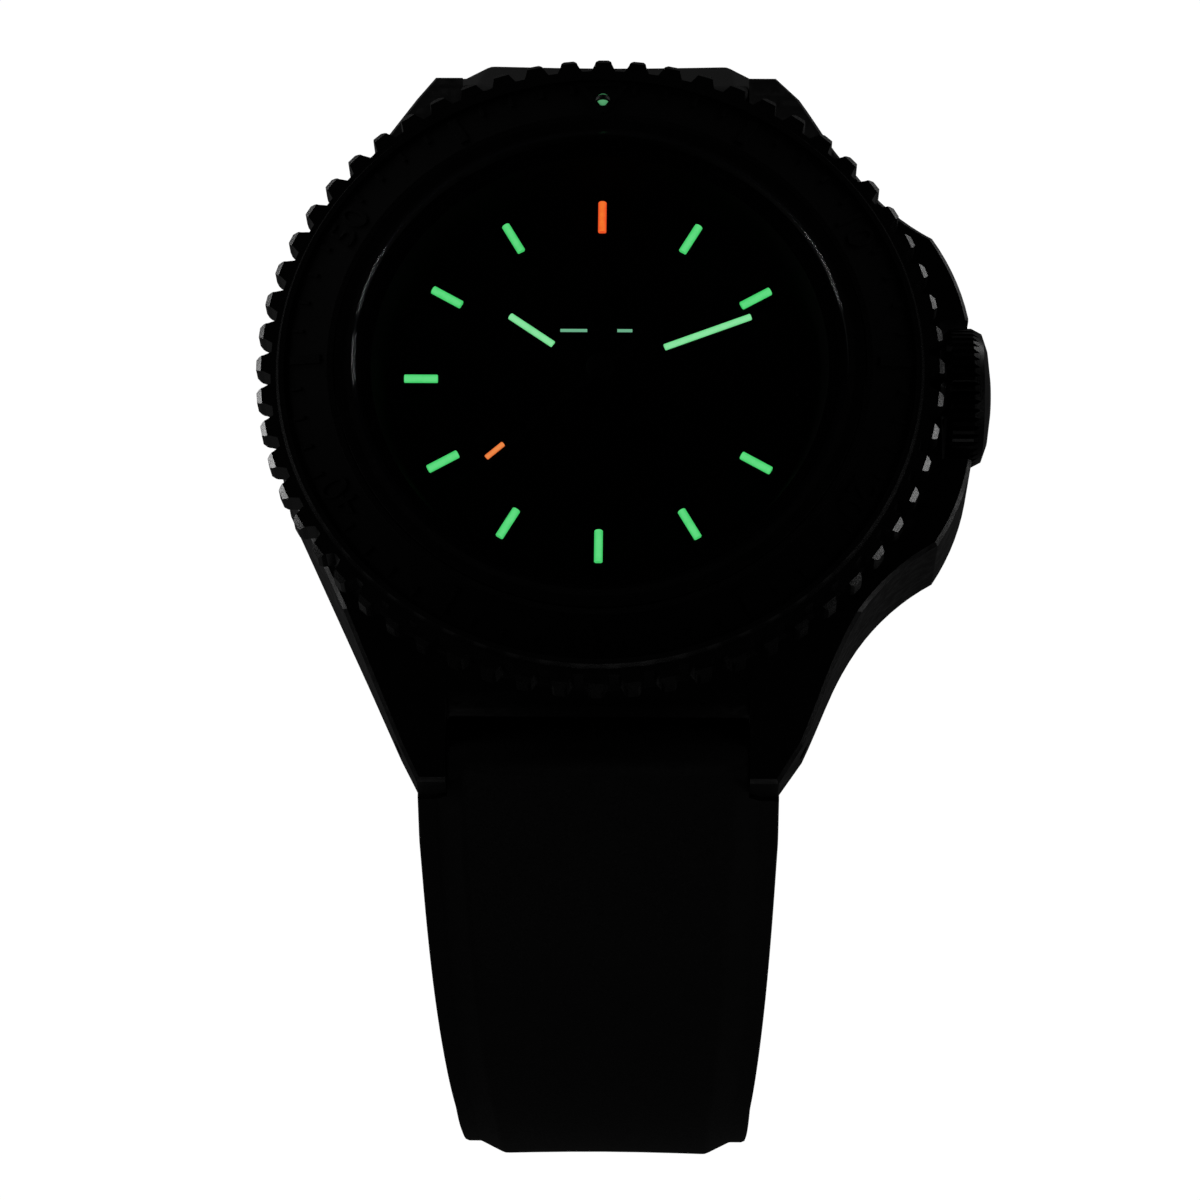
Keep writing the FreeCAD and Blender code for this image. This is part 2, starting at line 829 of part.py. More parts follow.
def dial():
    over = size("overrun")
    none = size("overrun") * 0
    plate = drum("dial_plate", size("dial_radius"), size("dial_bottom"), size("dial_top"))
    hole = drum("dial_centre_hole", size("dial_hole"), size("dial_bottom") - over,
                size("dial_top") + over)
    window = window_block("dial_window", none, size("dial_bottom") - over,
                          size("dial_top") + over)
    cut("dial", plate, [hole, window])
    frame = window_block("window_frame_plate", size("window_border"), size("dial_top"),
                         size("window_frame_top"))
    opening = window_block("window_frame_opening", none, size("dial_top") - over,
                           size("window_frame_top") + over)
    cut("date_window_frame", frame, [opening])
    dashes = []
    for side in ("left", "right"):
        low = (size("dash_" + side + "_start"), size("dash_y") - size("dash_half_height"),
               size("dial_top"))
        high = (size("dash_" + side + "_end"), size("dash_y") + size("dash_half_height"),
                size("dash_top"))
        dashes.append(block("dash_" + side, low, high))
    group("dial_dashes", dashes)


def glass_tube(radius, start, end, height):
    """Glass tube lying along +X, its ends cut square and broken at the rim."""
    bar = Part.makeCylinder(radius, end - start, Vector(start, 0, height), AXIS_X)
    rims = [edge for edge in bar.Edges if edge.BoundBox.XLength < mm("tube_end_chamfer")]
    return bar.makeChamfer(mm("tube_end_chamfer"), rims)


def hour_marks(hours, shape_maker):
    """One copy of a shape at each of the given hours."""
    return [turned_to(shape_maker(), 90.0 - hour * 360.0 / HOURS) for hour in hours]


def marker_tube():
    middle = mm("marker_circle")
    half = mm("marker_length") / 2
    return glass_tube(mm("marker_radius"), middle - half, middle + half, mm("marker_height"))


def marker_cradle():
    middle = mm("marker_circle")
    half = mm("cradle_half_length")
    width = mm("cradle_half_width")
    base = Part.makeBox(2 * half, 2 * width, mm("cradle_top") - mm("dial_top"),
                        Vector(middle - half, -width, mm("dial_top")))
    bed = mm("marker_length") / 2 + mm("cradle_groove") - mm("marker_radius")
    return base.cut(glass_tube(mm("cradle_groove"), middle - bed, middle + bed,
                               mm("marker_height")))


def markers():
    hours = [hour for hour in range(1, HOURS + 1) if hour != DATE_HOUR]
    green = [hour for hour in hours if hour != HOURS]
    made("hour_tubes", Part.makeCompound(hour_marks(green, marker_tube)))
    made("twelve_tube", hour_marks([HOURS], marker_tube)[0])
    made("tube_cradles", Part.makeCompound(hour_marks(hours, marker_cradle)))


# ---- hands -----------------------------------------------------------------

def hand_plate(outline, hub, bore, bottom, top):
    plate = prism(outline, bottom, top)
    plate = plate.fuse(upright(hub, bottom, top))
    over = mm("overrun")
    return plate.cut(upright(bore, bottom - over, top + over))


def tube_bed(start, end, radius, bottom, height):
    """Raised rails that hold a tube on a hand, cut to the tube."""
    wall = mm("tube_wall_half")
    half = radius + wall
    bed = Part.makeBox(end - start + 2 * wall, 2 * half, height - bottom,
                       Vector(start - wall, -half, bottom))
    gap = mm("tube_bed_gap")
    return bed.cut(glass_tube(radius + gap, start - gap, end + gap, height))


def hand_tube_height(top, radius):
    return top + radius + mm("tube_lift")


def hand(name, bore, at_degrees):
    """Flat hand with a glass tube bedded on it, turned to its place."""
    bottom = mm(name + "_plate_bottom")
    top = mm(name + "_plate_top")
    tip = mm(name + "_tip")
    tail = mm(name + "_tail")
    half = mm(name + "_half_width")
    radius = mm(name + "_tube_radius")
    start = mm(name + "_tube_start")
    end = mm(name + "_tube_end")
    height = hand_tube_height(top, radius)
    point = tip - half
    nose = HAND_NOSE * half
    outline = [(-tail, -half), (point, -half), (tip, -nose), (tip, nose), (point, half),
               (-tail, half)]
    body = hand_plate(outline, bore + mm("hub_extra"), bore, bottom, top)
    body = body.fuse(tube_bed(start, end, radius, top, height))
    made(name + "_hand", turned_to(body.removeSplitter(), at_degrees))
    made(name + "_hand_tube", turned_to(glass_tube(radius, start, end, height), at_degrees))


def hands():
    hand("hour", mm("hour_pipe_outer"), HOUR_AT)
    hand("minute", mm("minute_pipe_outer"), MINUTE_AT)
    hand("second", mm("second_arbor"), SECOND_AT)


# ---- wheels ----------------------------------------------------------------

def stud_spot():
    return polar(centre_distance(CANNON_PINION, MINUTE_WHEEL), STUD_ANGLE)


def third_spot():
    return polar(centre_distance(SECOND_PINION, THIRD_WHEEL), THIRD_ANGLE)


def between_spot():
    return polar(centre_distance(SECOND_WHEEL, BETWEEN_PINION), BETWEEN_ANGLE)


def rotor_spot():
    x, y = between_spot()
    dx, dy = polar(centre_distance(BETWEEN_WHEEL, ROTOR_PINION), ROTOR_ANGLE)
    return x + dx, y + dy


def spoked(wheel_spec, bottom, top, centre, phase):
    """Wheel with round lightening holes."""
    wheel = gear(wheel_spec, bottom, top, centre, phase)
    pitch = wheel_spec[0] * wheel_spec[1] / 2
    over = mm("overrun")
    for n in range(SPOKES):
        dx, dy = polar(pitch * SPOKE_CIRCLE, (n + 0.5) * 360.0 / SPOKES + phase)
        wheel = wheel.cut(upright(pitch * SPOKE_HOLE, bottom - over, top + over, centre[0] + dx,
                                  centre[1] + dy))
    return wheel


def centre_wheels():
    """Seconds, minute and hour wheels, one inside the other on the hand axis."""
    zero = (0.0, 0.0)
    over = mm("overrun")
    second = spoked(SECOND_WHEEL, mm("second_wheel_bottom"), mm("second_wheel_top"), zero, 0.0)
    pinion = gear(SECOND_PINION, mm("second_wheel_bottom"), mm("second_pinion_top"))
    lower = upright(mm("arbor_radius"), mm("pivot_bottom"), mm("arbor_shoulder"))
    arbor = upright(mm("second_arbor"), mm("second_pinion_top"), mm("second_plate_top"))
    made("second_wheel", second.fuse([pinion, lower, arbor]).removeSplitter())
    centre = spoked(CENTRE_WHEEL, mm("centre_wheel_bottom"), mm("centre_wheel_top"), zero, 0.0)
    cannon = gear(CANNON_PINION, mm("cannon_bottom"), mm("cannon_top"))
    pipe = upright(mm("minute_pipe_outer"), mm("centre_wheel_bottom"), mm("minute_plate_top"))
    bore = upright(mm("minute_pipe_inner"), mm("centre_wheel_bottom") - over,
                   mm("minute_plate_top") + over)
    made("minute_pipe", centre.fuse([cannon, pipe]).cut(bore).removeSplitter())
    bearing = STUD_ANGLE + 180.0
    phase = meshing_phase(MINUTE_PINION, minute_wheel_phase(), HOUR_WHEEL, bearing)
    hour = gear(HOUR_WHEEL, mm("hour_wheel_bottom"), mm("hour_wheel_top"), zero, phase)
    hour_pipe = upright(mm("hour_pipe_outer"), mm("hour_wheel_bottom"), mm("hour_plate_top"))
    hour_bore = upright(mm("hour_pipe_inner"), mm("hour_wheel_bottom") - over,
                        mm("hour_plate_top") + over)
    made("hour_wheel", hour.fuse(hour_pipe).cut(hour_bore).removeSplitter())


def minute_wheel_phase():
    return meshing_phase(CANNON_PINION, 0.0, MINUTE_WHEEL, STUD_ANGLE)


def minute_wheel():
    """Wheel and pinion between the cannon pinion and the hour wheel."""
    spot = stud_spot()
    phase = minute_wheel_phase()
    wheel = gear(MINUTE_WHEEL, mm("minute_wheel_bottom"), mm("minute_wheel_top"), spot, phase)
    pinion = gear(MINUTE_PINION, mm("minute_wheel_bottom"), mm("minute_pinion_top"), spot, phase)
    over = mm("overrun")
    bore = upright(mm("stud_bore"), mm("minute_wheel_bottom") - over,
                   mm("minute_pinion_top") + over, *spot)
    made("minute_wheel", wheel.fuse(pinion).cut(bore).removeSplitter())


def train_arbor(spot):
    return upright(mm("arbor_radius"), mm("pivot_bottom"), mm("pivot_top"), *spot)


def train_wheels():
    spot = third_spot()
    phase = meshing_phase(SECOND_PINION, 0.0, THIRD_WHEEL, THIRD_ANGLE)
    wheel = spoked(THIRD_WHEEL, mm("third_wheel_bottom"), mm("third_wheel_top"), spot, phase)
    bearing = THIRD_ANGLE
    leaf_phase = meshing_phase(CENTRE_WHEEL, 0.0, THIRD_PINION, bearing)
    pinion = gear(THIRD_PINION, mm("third_pinion_bottom"), mm("third_pinion_top"), spot,
                  leaf_phase)
    made("third_wheel", wheel.fuse([pinion, train_arbor(spot)]).removeSplitter())
    spot = between_spot()
    leaf_phase = meshing_phase(SECOND_WHEEL, 0.0, BETWEEN_PINION, BETWEEN_ANGLE)
    wheel = gear(BETWEEN_WHEEL, mm("between_wheel_bottom"), mm("between_wheel_top"), spot, 0.0)
    pinion = gear(BETWEEN_PINION, mm("between_wheel_bottom"), mm("between_pinion_top"), spot,
                  leaf_phase)
    made("intermediate_wheel", wheel.fuse([pinion, train_arbor(spot)]).removeSplitter())
    spot = rotor_spot()
    phase = meshing_phase(BETWEEN_WHEEL, 0.0, ROTOR_PINION, ROTOR_ANGLE)
    pinion = gear(ROTOR_PINION, mm("rotor_pinion_bottom"), mm("rotor_pinion_top"), spot, phase)
    magnet = upright(mm("magnet_radius"), mm("magnet_bottom"), mm("magnet_top"), *spot)
    made("stepper_rotor", magnet.fuse([pinion, train_arbor(spot)]).removeSplitter())


def date_disc():
    """Flat ring with thirty-one teeth on its inner edge."""
    teeth = int(mm("date_teeth"))
    inner = mm("date_inner")
    tip = inner - mm("date_tooth")
    wide, narrow = DATE_TOOTH
    pitch = 360.0 / teeth
    outline = []
    for tooth in range(teeth):
        middle = tooth * pitch
        for radius, part in ((inner, -wide), (tip, -narrow), (tip, narrow), (inner, wide)):
            outline.append(polar(radius, middle + part * pitch))
    over = mm("overrun")
    disc = upright(mm("date_outer"), mm("date_bottom"), mm("date_top"))
    hole = prism(outline, mm("date_bottom") - over, mm("date_top") + over)
    made("date_disc", disc.cut(hole))


# ---- movement --------------------------------------------------------------

def movement_frame():
    over = size("overrun")
    bottom = size("holder_bottom")
    holder = ring("holder_ring", size("holder_outer"), size("holder_inner"), bottom,
                  size("dial_bottom"))
    slot = rod("holder_stem_hole", size("holder_slot"), size("plate_radius") - over,
               size("cavity_radius"), None, size("stem_height"))
    cut("movement_holder", holder, [slot])
    disc = drum("plate_disc", size("plate_radius"), size("plate_bottom"), size("plate_top"))
    half = size("plate_slot_half")
    cuts = [
        block("plate_stem_slot", (size("plate_slot_start"), -half, size("plate_bottom") - over),
              (size("plate_radius") + over, half, size("plate_top") + over)),
        drum("plate_centre_hole", size("plate_hole"), size("plate_bottom") - over,
             size("plate_top") + over),
    ]
    for name, spot in train_spots():
        x, y = sized(spot)
        cuts.append(drum("plate_pivot_" + name, size("pivot_bore"), size("plate_bottom") - over,
                         size("pivot_bore_top"), x, y))
    plate = cut("plate_bored", disc, cuts)
    x, y = sized(stud_spot())
    stud = drum("plate_stud", size("stud_radius"), size("plate_top") - over, size("stud_top"), x, y)
    join("main_plate", [plate, stud])


def sized(spot):
    """A computed (x, y) as sizes, scaled from the sheet's overrun unit."""
    unit = size("overrun")
    return unit * round(spot[0] / unit.mm, 6), unit * round(spot[1] / unit.mm, 6)


def train_spots():
    return [("third", third_spot()), ("between", between_spot()), ("rotor", rotor_spot())]


def train_bridge():
    over = size("overrun")
    bottom = size("bridge_bottom")
    top = size("bridge_top")
    plate = block("bridge_plate", (size("bridge_left"), size("bridge_front"), bottom),
                  (size("bridge_right"), size("bridge_rear"), top))
    pillars = []
    for n, spot in enumerate(BRIDGE_PILLARS):
        x, y = sized(spot)
        pillars.append(drum("bridge_pillar_" + str(n), size("pillar_radius"), bottom,
                            size("plate_bottom"), x, y))
    cuts = []
    for name, spot in train_spots() + [("second", (0.0, 0.0))]:
        x, y = sized(spot)
        cuts.append(drum("bridge_pivot_" + name, size("pivot_bore"), bottom - over, top + over,
                         x, y))
    cut("train_bridge", join("bridge_blank", [plate] + pillars), cuts)


def power():
    x = size("battery_x")
    y = size("battery_y")
    can = drum("battery_can", size("battery_radius"), size("battery_bottom"),
               size("battery_step"), x, y)
    cap = drum("battery_cap", size("battery_cap_radius"), size("battery_bottom"),
               size("battery_top"), x, y)
    join("battery", [can, cap])
    low = (size("board_left"), size("board_front"), size("board_bottom"))
    block("circuit_board", low, (size("board_right"), size("board_rear"), size("board_top")))
    chip_low = (size("chip_left"), size("chip_front"), size("board_bottom") - size("chip_height"))
    block("control_chip", chip_low,
          (size("chip_left") + size("chip_side"), size("chip_front") + size("chip_side"),
           size("board_bottom")))
    can = doc.addObject("Part::Cylinder", "quartz_can")
    can.Placement = Placement(Vector(), ALONG_Y)
    bind(can, "Radius", size("quartz_radius"))
    bind(can, "Height", size("quartz_length"))
    place(can, size("quartz_x"), size("board_front"), size("board_bottom") - size("quartz_radius"))


def stepper():
    over = size("overrun")
    half = size("stator_half")
    bottom = size("stator_bottom")
    top = size("stator_top")
    bar = block("stator_bar", (-half, size("stator_front"), bottom),
                (half, size("stator_rear"), top))
    legs = []
    for name, start, end in (("left", -half, -half + size("leg_width")),
                             ("right", half - size("leg_width"), half)):
        legs.append(block("stator_leg_" + name, (start, size("leg_front"), bottom),
                          (end, size("stator_front") + over, top)))
    x, y = sized(rotor_spot())
    hole = drum("stator_hole", size("stator_bore"), bottom - over, top + over, x, y)
    cut("stator", join("stator_blank", [bar] + legs), [hole])
    core = block("coil_core", (-half, size("core_front"), top),
                 (half, size("core_rear"), size("core_top")))
    y_mid = (size("core_front") + size("core_rear")) * 0.5
    z_mid = (size("core_top") + top) * 0.5
    winding = rod("winding_bar", size("coil_radius"), -size("coil_half"), size("coil_half"),
                  y_mid, z_mid)
    slack = size("coil_core_clearance")
    tunnel = block("winding_tunnel", (-half, size("core_front") - slack, top - slack),
                   (half, size("core_rear") + slack, size("core_top") + slack))
    cut("coil_winding", winding, [tunnel])
    return core


# ---- bezel -----------------------------------------------------------------

def bezel_band():
    """Sixty teeth with rounded corners, each about as wide as the notch beside it."""
    teeth = int(mm("bezel_teeth"))
    pitch = 360.0 / teeth
    half = [(mm(name), share) for name, share in TOOTH_HALF]
    corners = [(radius, -share) for radius, share in half] + half[::-1]
    outline = []
    for tooth in range(teeth):
        for radius, share in corners:
            outline.append(polar(radius, (tooth + share) * pitch))
    return prism(outline, mm("bezel_band_bottom"), mm("bezel_band_top"))


def bezel_ring():
    bevel = size("bezel_bevel")
    tip = size("bezel_tip")
    bottom = size("bezel_bottom")
    band_bottom = size("bezel_band_bottom")
    band_top = size("bezel_band_top")
    envelope = turned("bezel_envelope", [
        (0, band_bottom), (tip - bevel, band_bottom), (tip, band_bottom + bevel),
        (tip, band_top - bevel), (tip - bevel, band_top), (0, band_top)])
    band = overlap("bezel_band", made("bezel_teeth_blank", bezel_band()), envelope)
    rim = size("bezel_rim_radius")
    root = size("bezel_root")
    insert_out = size("insert_outer")
    insert_in = size("insert_inner")
    crest = turned("bezel_crest", [
        (0, bottom), (root - bevel, bottom), (root, bottom + bevel), (root, band_bottom + bevel),
        (root - bevel, band_top),
        (rim, size("bezel_rim_top")), (insert_out, size("bezel_rim_top")),
        (insert_out, size("insert_floor_outer")), (insert_in, size("insert_floor_inner")),
        (insert_in, size("bezel_lip_top")), (0, size("bezel_lip_top"))])
    over = size("overrun")
    cuts = [
        drum("bezel_hole", size("bezel_bore"), bottom - over, size("bezel_lip_top") + over),
        drum("bezel_wire_pocket", size("wire_pocket"), size("wire_pocket_bottom"),
             size("wire_pocket_top")),
        ring("bezel_click_pocket", size("click_pocket_outer"), size("click_pocket_inner"),
             bottom - over, size("click_pocket_top")),
    ]
    return cut("bezel_ring", join("bezel_solid", [band, crest]), cuts)


def bezel_top():
    outer = size("insert_outer")
    inner = size("insert_inner")
    plate = turned("insert_plate", [
        (inner, size("insert_floor_inner")), (outer, size("insert_floor_outer")),
        (outer, size("insert_top_outer")), (inner, size("insert_top_inner"))])
    over = size("overrun")
    pocket = drum("insert_pocket", size("pearl_pocket"), size("pearl_depth"),
                  size("insert_top_inner") + over, None, size("pearl_circle"))
    cut("bezel_insert", plate, [pocket])
    ball = doc.addObject("Part::Sphere", "pearl_ball")
    bind(ball, "Radius", size("pearl_radius"))
    place(ball, None, size("pearl_circle"), size("pearl_height"))
    keep = drum("pearl_keep", size("pearl_pocket"), size("pearl_depth"),
                size("pearl_height") + over, None, size("pearl_circle"))
    overlap("bezel_pearl", ball, keep)


def bezel_hardware():
    wire = ring("wire_ring", size("wire_outer"), size("wire_inner"), size("wire_bottom"),
                size("wire_top"))
    over = size("overrun")
    gap = size("wire_gap_half")
    opening = block("wire_opening", (-gap, -size("wire_outer") - over, size("wire_bottom") - over),
                    (gap, -size("wire_inner") + over, size("wire_top") + over))
    cut("bezel_retaining_wire", wire, [opening])
    plate = ring("click_ring", size("click_outer"), size("click_inner"), size("case_top"),
                 size("click_top"))
    half = size("click_finger_half")
    fingers = []
    for name, side in (("left", -1), ("right", 1)):
        middle = (size("click_inner") + size("click_outer")) * (side / 2)
        fingers.append(block("click_finger_" + name, (middle - half, -half, size("case_top")),
                             (middle + half, half, size("click_finger_top"))))
    join("bezel_click_spring", [plate] + fingers)


# ---- crown -----------------------------------------------------------------

def knurled(label, outer, root, count, start, end):
    """Knurled cylinder lying along X at the height of the stem."""
    outline = []
    for n in range(count):
        for radius, part in ((root, -0.5), (outer, -KNURL_CREST), (outer, KNURL_CREST)):
            outline.append(polar(radius, (n + part) * 360.0 / count))
    shape = prism(outline, start, end)
    shape.rotate(Vector(), Vector(0, 1, 0), 90)
    shape.translate(Vector(0, 0, mm("stem_height")))
    return made(label, shape)


def crown():
    start = size("crown_start")
    end = size("crown_end")
    height = size("stem_height")
    knob = knurled("crown_knob", mm("crown_radius"), mm("crown_root"), int(mm("crown_knurls")),
                   start.mm, end.mm)
    shape = crown_envelope(start.mm, end.mm, mm("crown_corner"))
    head = overlap("crown_head", knob, made("crown_envelope", shape))
    hollow_end = size("crown_hollow_end")
    hollow = rod("crown_hollow", size("crown_hollow_radius"), start - size("overrun"), hollow_end,
                 None, height)
    grip_end = hollow_end + size("stem_grip")
    socket = rod("crown_socket", size("stem_radius"), start, grip_end, None, height)
    cut("crown", head, [hollow, socket])
    rod("stem", size("stem_radius"), size("stem_start"), grip_end, None, height)
    sleeve("crown_gasket", size("crown_seal_outer"), size("crown_seal_inner"),
           size("crown_seal_start"), size("crown_seal_end"), None, height)


def crown_envelope(start, end, corner):
    """Crown profile turned about its own axis: bevelled rim and domed face."""
    radius = mm("crown_radius")
    face = mm("crown_face_radius")
    middle = mm("stem_height")
    points = [(start, 0), (start, radius - corner / 2), (start + corner / 2, radius)]
    points += [(end - back * corner, radius - inward * corner) for back, inward in CROWN_RIM]
    points += [(end - CROWN_FACE_EDGE * corner, face), (end, CROWN_FLAT_SHARE * face), (end, 0)]
    corners = [Vector(x, 0, middle + r) for x, r in points]
    face_shape = Part.Face(Part.makePolygon(corners + corners[:1]))
    return face_shape.revolve(Vector(0, 0, middle), AXIS_X, 360)


def crown_works():
    height = size("stem_height")
    over = size("overrun")
    pipe = rod("tube_pipe", size("tube_outer"), size("tube_start"), size("tube_end"), None, height)
    bore = rod("tube_bore", size("tube_inner"), size("tube_start") - over,
               size("tube_end") + over, None, height)
    cut("crown_tube", pipe, [bore])
    knob = knurled("clutch_teeth", mm("clutch_radius"), mm("clutch_root"),
                   int(mm("clutch_teeth")), mm("clutch_start"), mm("clutch_end"))
    hole = rod("clutch_hole", size("clutch_bore"), size("clutch_start") - over,
               size("clutch_end") + over, None, height)
    cut("clutch_wheel", knob, [hole])


# ---- strap -----------------------------------------------------------------

class Loop:
    """Outer face of the closed strap in the YZ plane.

    Distance runs from the bottom middle, positive towards twelve o'clock.
    """

    def __init__(self):
        start = math.radians(mm("strap_lug_angle"))
        side = math.radians(mm("strap_side_angle"))
        corner = math.radians(mm("strap_corner_angle"))
        self.bar = (mm("bar_y"), mm("bar_z"))
        head = mm("strap_head_radius")
        first = (self.bar[0] + head * math.sin(start), self.bar[1] + head * math.cos(start))
        straight = mm("strap_straight")
        second = (first[0] + straight * math.cos(start), first[1] - straight * math.sin(start))
        third = arc_end(second, mm("strap_side_radius"), start, side)
        fourth = arc_end(third, mm("strap_corner_radius"), side, corner)
        self.bottom_radius = fourth[0] / math.sin(corner)
        self.centre_z = fourth[1] - self.bottom_radius * math.cos(corner)
        self.spans = [
            (self.bottom_radius * (math.pi - corner), self.bottom_radius, math.pi),
            (mm("strap_corner_radius") * (corner - side), mm("strap_corner_radius"), corner),
            (mm("strap_side_radius") * (side - start), mm("strap_side_radius"), side),
            (straight, None, start),
        ]
        self.length = sum(span[0] for span in self.spans)

    def point(self, distance, offset=0.0):
        """Point at a distance along the loop, moved out by an offset."""
        y, z, angle = self.walk(min(abs(distance), self.length))
        y += offset * math.sin(angle)
        z += offset * math.cos(angle)
        return Vector(0, math.copysign(1.0, distance) * y, z)

    def walk(self, left):
        """Walk up from the bottom middle on the twelve o'clock side."""
        y = 0.0
        z = self.centre_z - self.bottom_radius
        for length, radius, angle in self.spans:
            step = min(left, length)
            if radius is None:
                y -= step * math.cos(angle)
                z += step * math.sin(angle)
                end = angle
            else:
                end = angle - step / radius
                y -= radius * (math.sin(angle) - math.sin(end))
                z += radius * (math.cos(end) - math.cos(angle))
            left -= step
            if left <= 0:
                break
        return y, z, end

    def frame(self, distance):
        """Placement whose X, Y, Z run across, along and out of the bottom arc."""
        turn = Rotation(AXIS_X, math.degrees(distance / self.bottom_radius))
        return Placement(self.point(distance), turn.multiply(Rotation(AXIS_Y, 180)))

    def spot(self, distance, offset):
        """Point in the middle plane at an offset out of the bottom arc."""
        return self.frame(distance).multVec(Vector(0, 0, offset))


def arc_end(start, radius, first, last):
    return (start[0] + radius * (math.sin(last) - math.sin(first)),
            start[1] - radius * (math.cos(first) - math.cos(last)))


def thickness(loop, distance):
    """Strap thickness, full at the lugs and thin over the wrist."""
    from_lug = loop.length - abs(distance)
    share = min(from_lug / mm("strap_thin_from"), 1.0)
    full = 2 * mm("strap_head_radius")
    return full + (mm("strap_thin") - full) * share


def tail_offset(distance):
    """How far the buckled tail is lifted off the inner strap half."""
    start = mm("strap_ramp_start")
    share = (distance - start) / (mm("strap_ramp_end") - start)
    share = min(max(share, 0.0), 1.0)
    return (mm("strap_thin") + mm("strap_layer_gap")) * share * share * (3 - 2 * share)


def spaced(start, end, step):
    count = max(2, round(abs(end - start) / step))
    return [start + (end - start) * n / count for n in range(count + 1)]


def strap_profile(outer, inner):
    """Face between two smooth curves in the YZ plane."""
    curves = []
    for points in (outer, inner):
        curve = Part.BSplineCurve()
        curve.interpolate(points)
        curves.append(curve.toShape())
    ends = [Part.makeLine(outer[0], inner[0]), Part.makeLine(outer[-1], inner[-1])]
    return Part.Face(Part.Wire(Part.__sortEdges__(curves + ends)))


def strap_width_mask():
    """Front view of the strap: full width at the lugs, narrow at the buckle."""
    wide = mm("strap_lug_half")
    narrow = mm("strap_end_half")
    low = mm("strap_taper_bottom")
    deep = 2 * low
    reach = -low
    side = [(wide, mm("case_top")), (wide, mm("strap_taper_top")),
            (mm("strap_waist_half"), mm("strap_waist_z")),
            (mm("strap_hem_half"), mm("strap_hem_z")), (narrow, low), (narrow, deep)]
    points = side + [(-x, z) for x, z in reversed(side)]
    corners = [Vector(x, -reach, z) for x, z in points]
    face = Part.Face(Part.makePolygon(corners + corners[:1]))
    return face.extrude(Vector(0, 2 * reach, 0))


def strap_body(loop, start, end, lift):
    """Strap half from one distance to another, with the head round its bar."""
    marks = spaced(start, end, mm("strap_curve_step"))
    outer = [loop.point(d, lift(d)) for d in marks]
    inner = [loop.point(d, lift(d) - thickness(loop, d)) for d in marks]
    wide = mm("strap_lug_half")
    face = strap_profile(outer, inner)
    face.translate(Vector(-wide, 0, 0))
    body = face.extrude(AXIS_X * (2 * wide))
    side = math.copysign(1.0, end)
    centre = Vector(-wide, side * loop.bar[0], loop.bar[1])
    head = Part.makeCylinder(mm("strap_head_radius"), 2 * wide, centre, AXIS_X)
    body = body.fuse(head).common(strap_width_mask())
    centre.x = -2 * wide
    bore = Part.makeCylinder(mm("bar_bore"), 4 * wide, centre, AXIS_X)
    return body.cut([bore] + lug_clearance(side))


def lug_clearance(side):
    """Room for the two lugs beside the strap head."""
    half = mm("strap_head_half")
    start = mm("strap_lug_clear_start")
    depth = mm("strap_lug_clear") - start
    width = mm("strap_lug_clear_width")
    low = mm("strap_lug_clear_low")
    height = mm("strap_lug_clear_high") - low
    y = start if side > 0 else -start - depth
    return [Part.makeBox(width, depth, height, Vector(x, y, low)) for x in (half, -half - width)]


def flat_lift(distance):
    return 0.0


def bar_centre(loop):
    return loop.spot(mm("buckle_bar_at"), -mm("strap_thin") / 2)


def rail_centre(loop):
    return loop.spot(mm("buckle_rail_at"), mm("buckle_rail_height"))


def in_frame(loop, distance, low, high):
    """Box given in the loop's frame at a distance."""
    box = Part.makeBox(high[0] - low[0], high[1] - low[1], high[2] - low[2], Vector(*low))
    box.Placement = loop.frame(distance)
    return box


def strap_twelve(loop):
    """Buckle half: ends in an eye round the buckle bar."""
    bar_at = mm("buckle_bar_at")
    body = strap_body(loop, bar_at, loop.length, flat_lift)
    narrow = mm("strap_end_half")
    centre = bar_centre(loop)
    body = body.fuse(bar_across(mm("strap_thin") / 2, centre, narrow))
    bore = bar_across(mm("buckle_bar_bore"), centre, 2 * narrow)
    half = mm("tongue_notch_half")
    deep = 2 * mm("strap_thin")
    notch = in_frame(loop, bar_at, (-half, -deep, -deep), (half, mm("tongue_notch_end"), deep))
    made("strap_twelve_half", body.cut([bore, notch]))


def strap_six(loop):
    """Tail half: passes the buckle and lies over the other half."""
    body = strap_body(loop, mm("strap_tail"), -loop.length, tail_offset)
    half = mm("tongue_slot_half")
    start = mm("tongue_slot_start")
    end = mm("tongue_slot_end")
    deep = 2 * mm("strap_thin")
    slot = in_frame(loop, 0.0, (-half, start, -deep), (half, end, deep))
    made("strap_six_half", body.cut(slot))


def spring_bar(name, y):
    z = size("bar_z")
    half = size("bar_half")
    pin = size("bar_pin_half")
    barrel = rod(name + "_barrel", size("bar_radius"), -half, half, y, z)
    pins = rod(name + "_pins", size("bar_pin_radius"), -pin, pin, y, z)
    join(name, [barrel, pins])


# ---- buckle and keepers ----------------------------------------------------

def stadium(first, second, radius, start, end):
    """Rounded bar between two points, extruded along X."""
    along = second.sub(first)
    along.normalize()
    across = Vector(0, -along.z, along.y).multiply(radius)
    corners = [first.add(across), second.add(across), second.sub(across), first.sub(across)]
    for corner in corners:
        corner.x = start
    face = Part.Face(Part.makePolygon(corners + corners[:1]))
    slab = face.extrude(AXIS_X * (end - start))
    rounds = [Part.makeCylinder(radius, end - start, Vector(start, p.y, p.z), AXIS_X)
              for p in (first, second)]
    return slab.fuse(rounds).removeSplitter()


def bar_across(radius, centre, half):
    """Cylinder along X, centred on a point."""
    return Part.makeCylinder(radius, 2 * half, Vector(-half, centre.y, centre.z), AXIS_X)


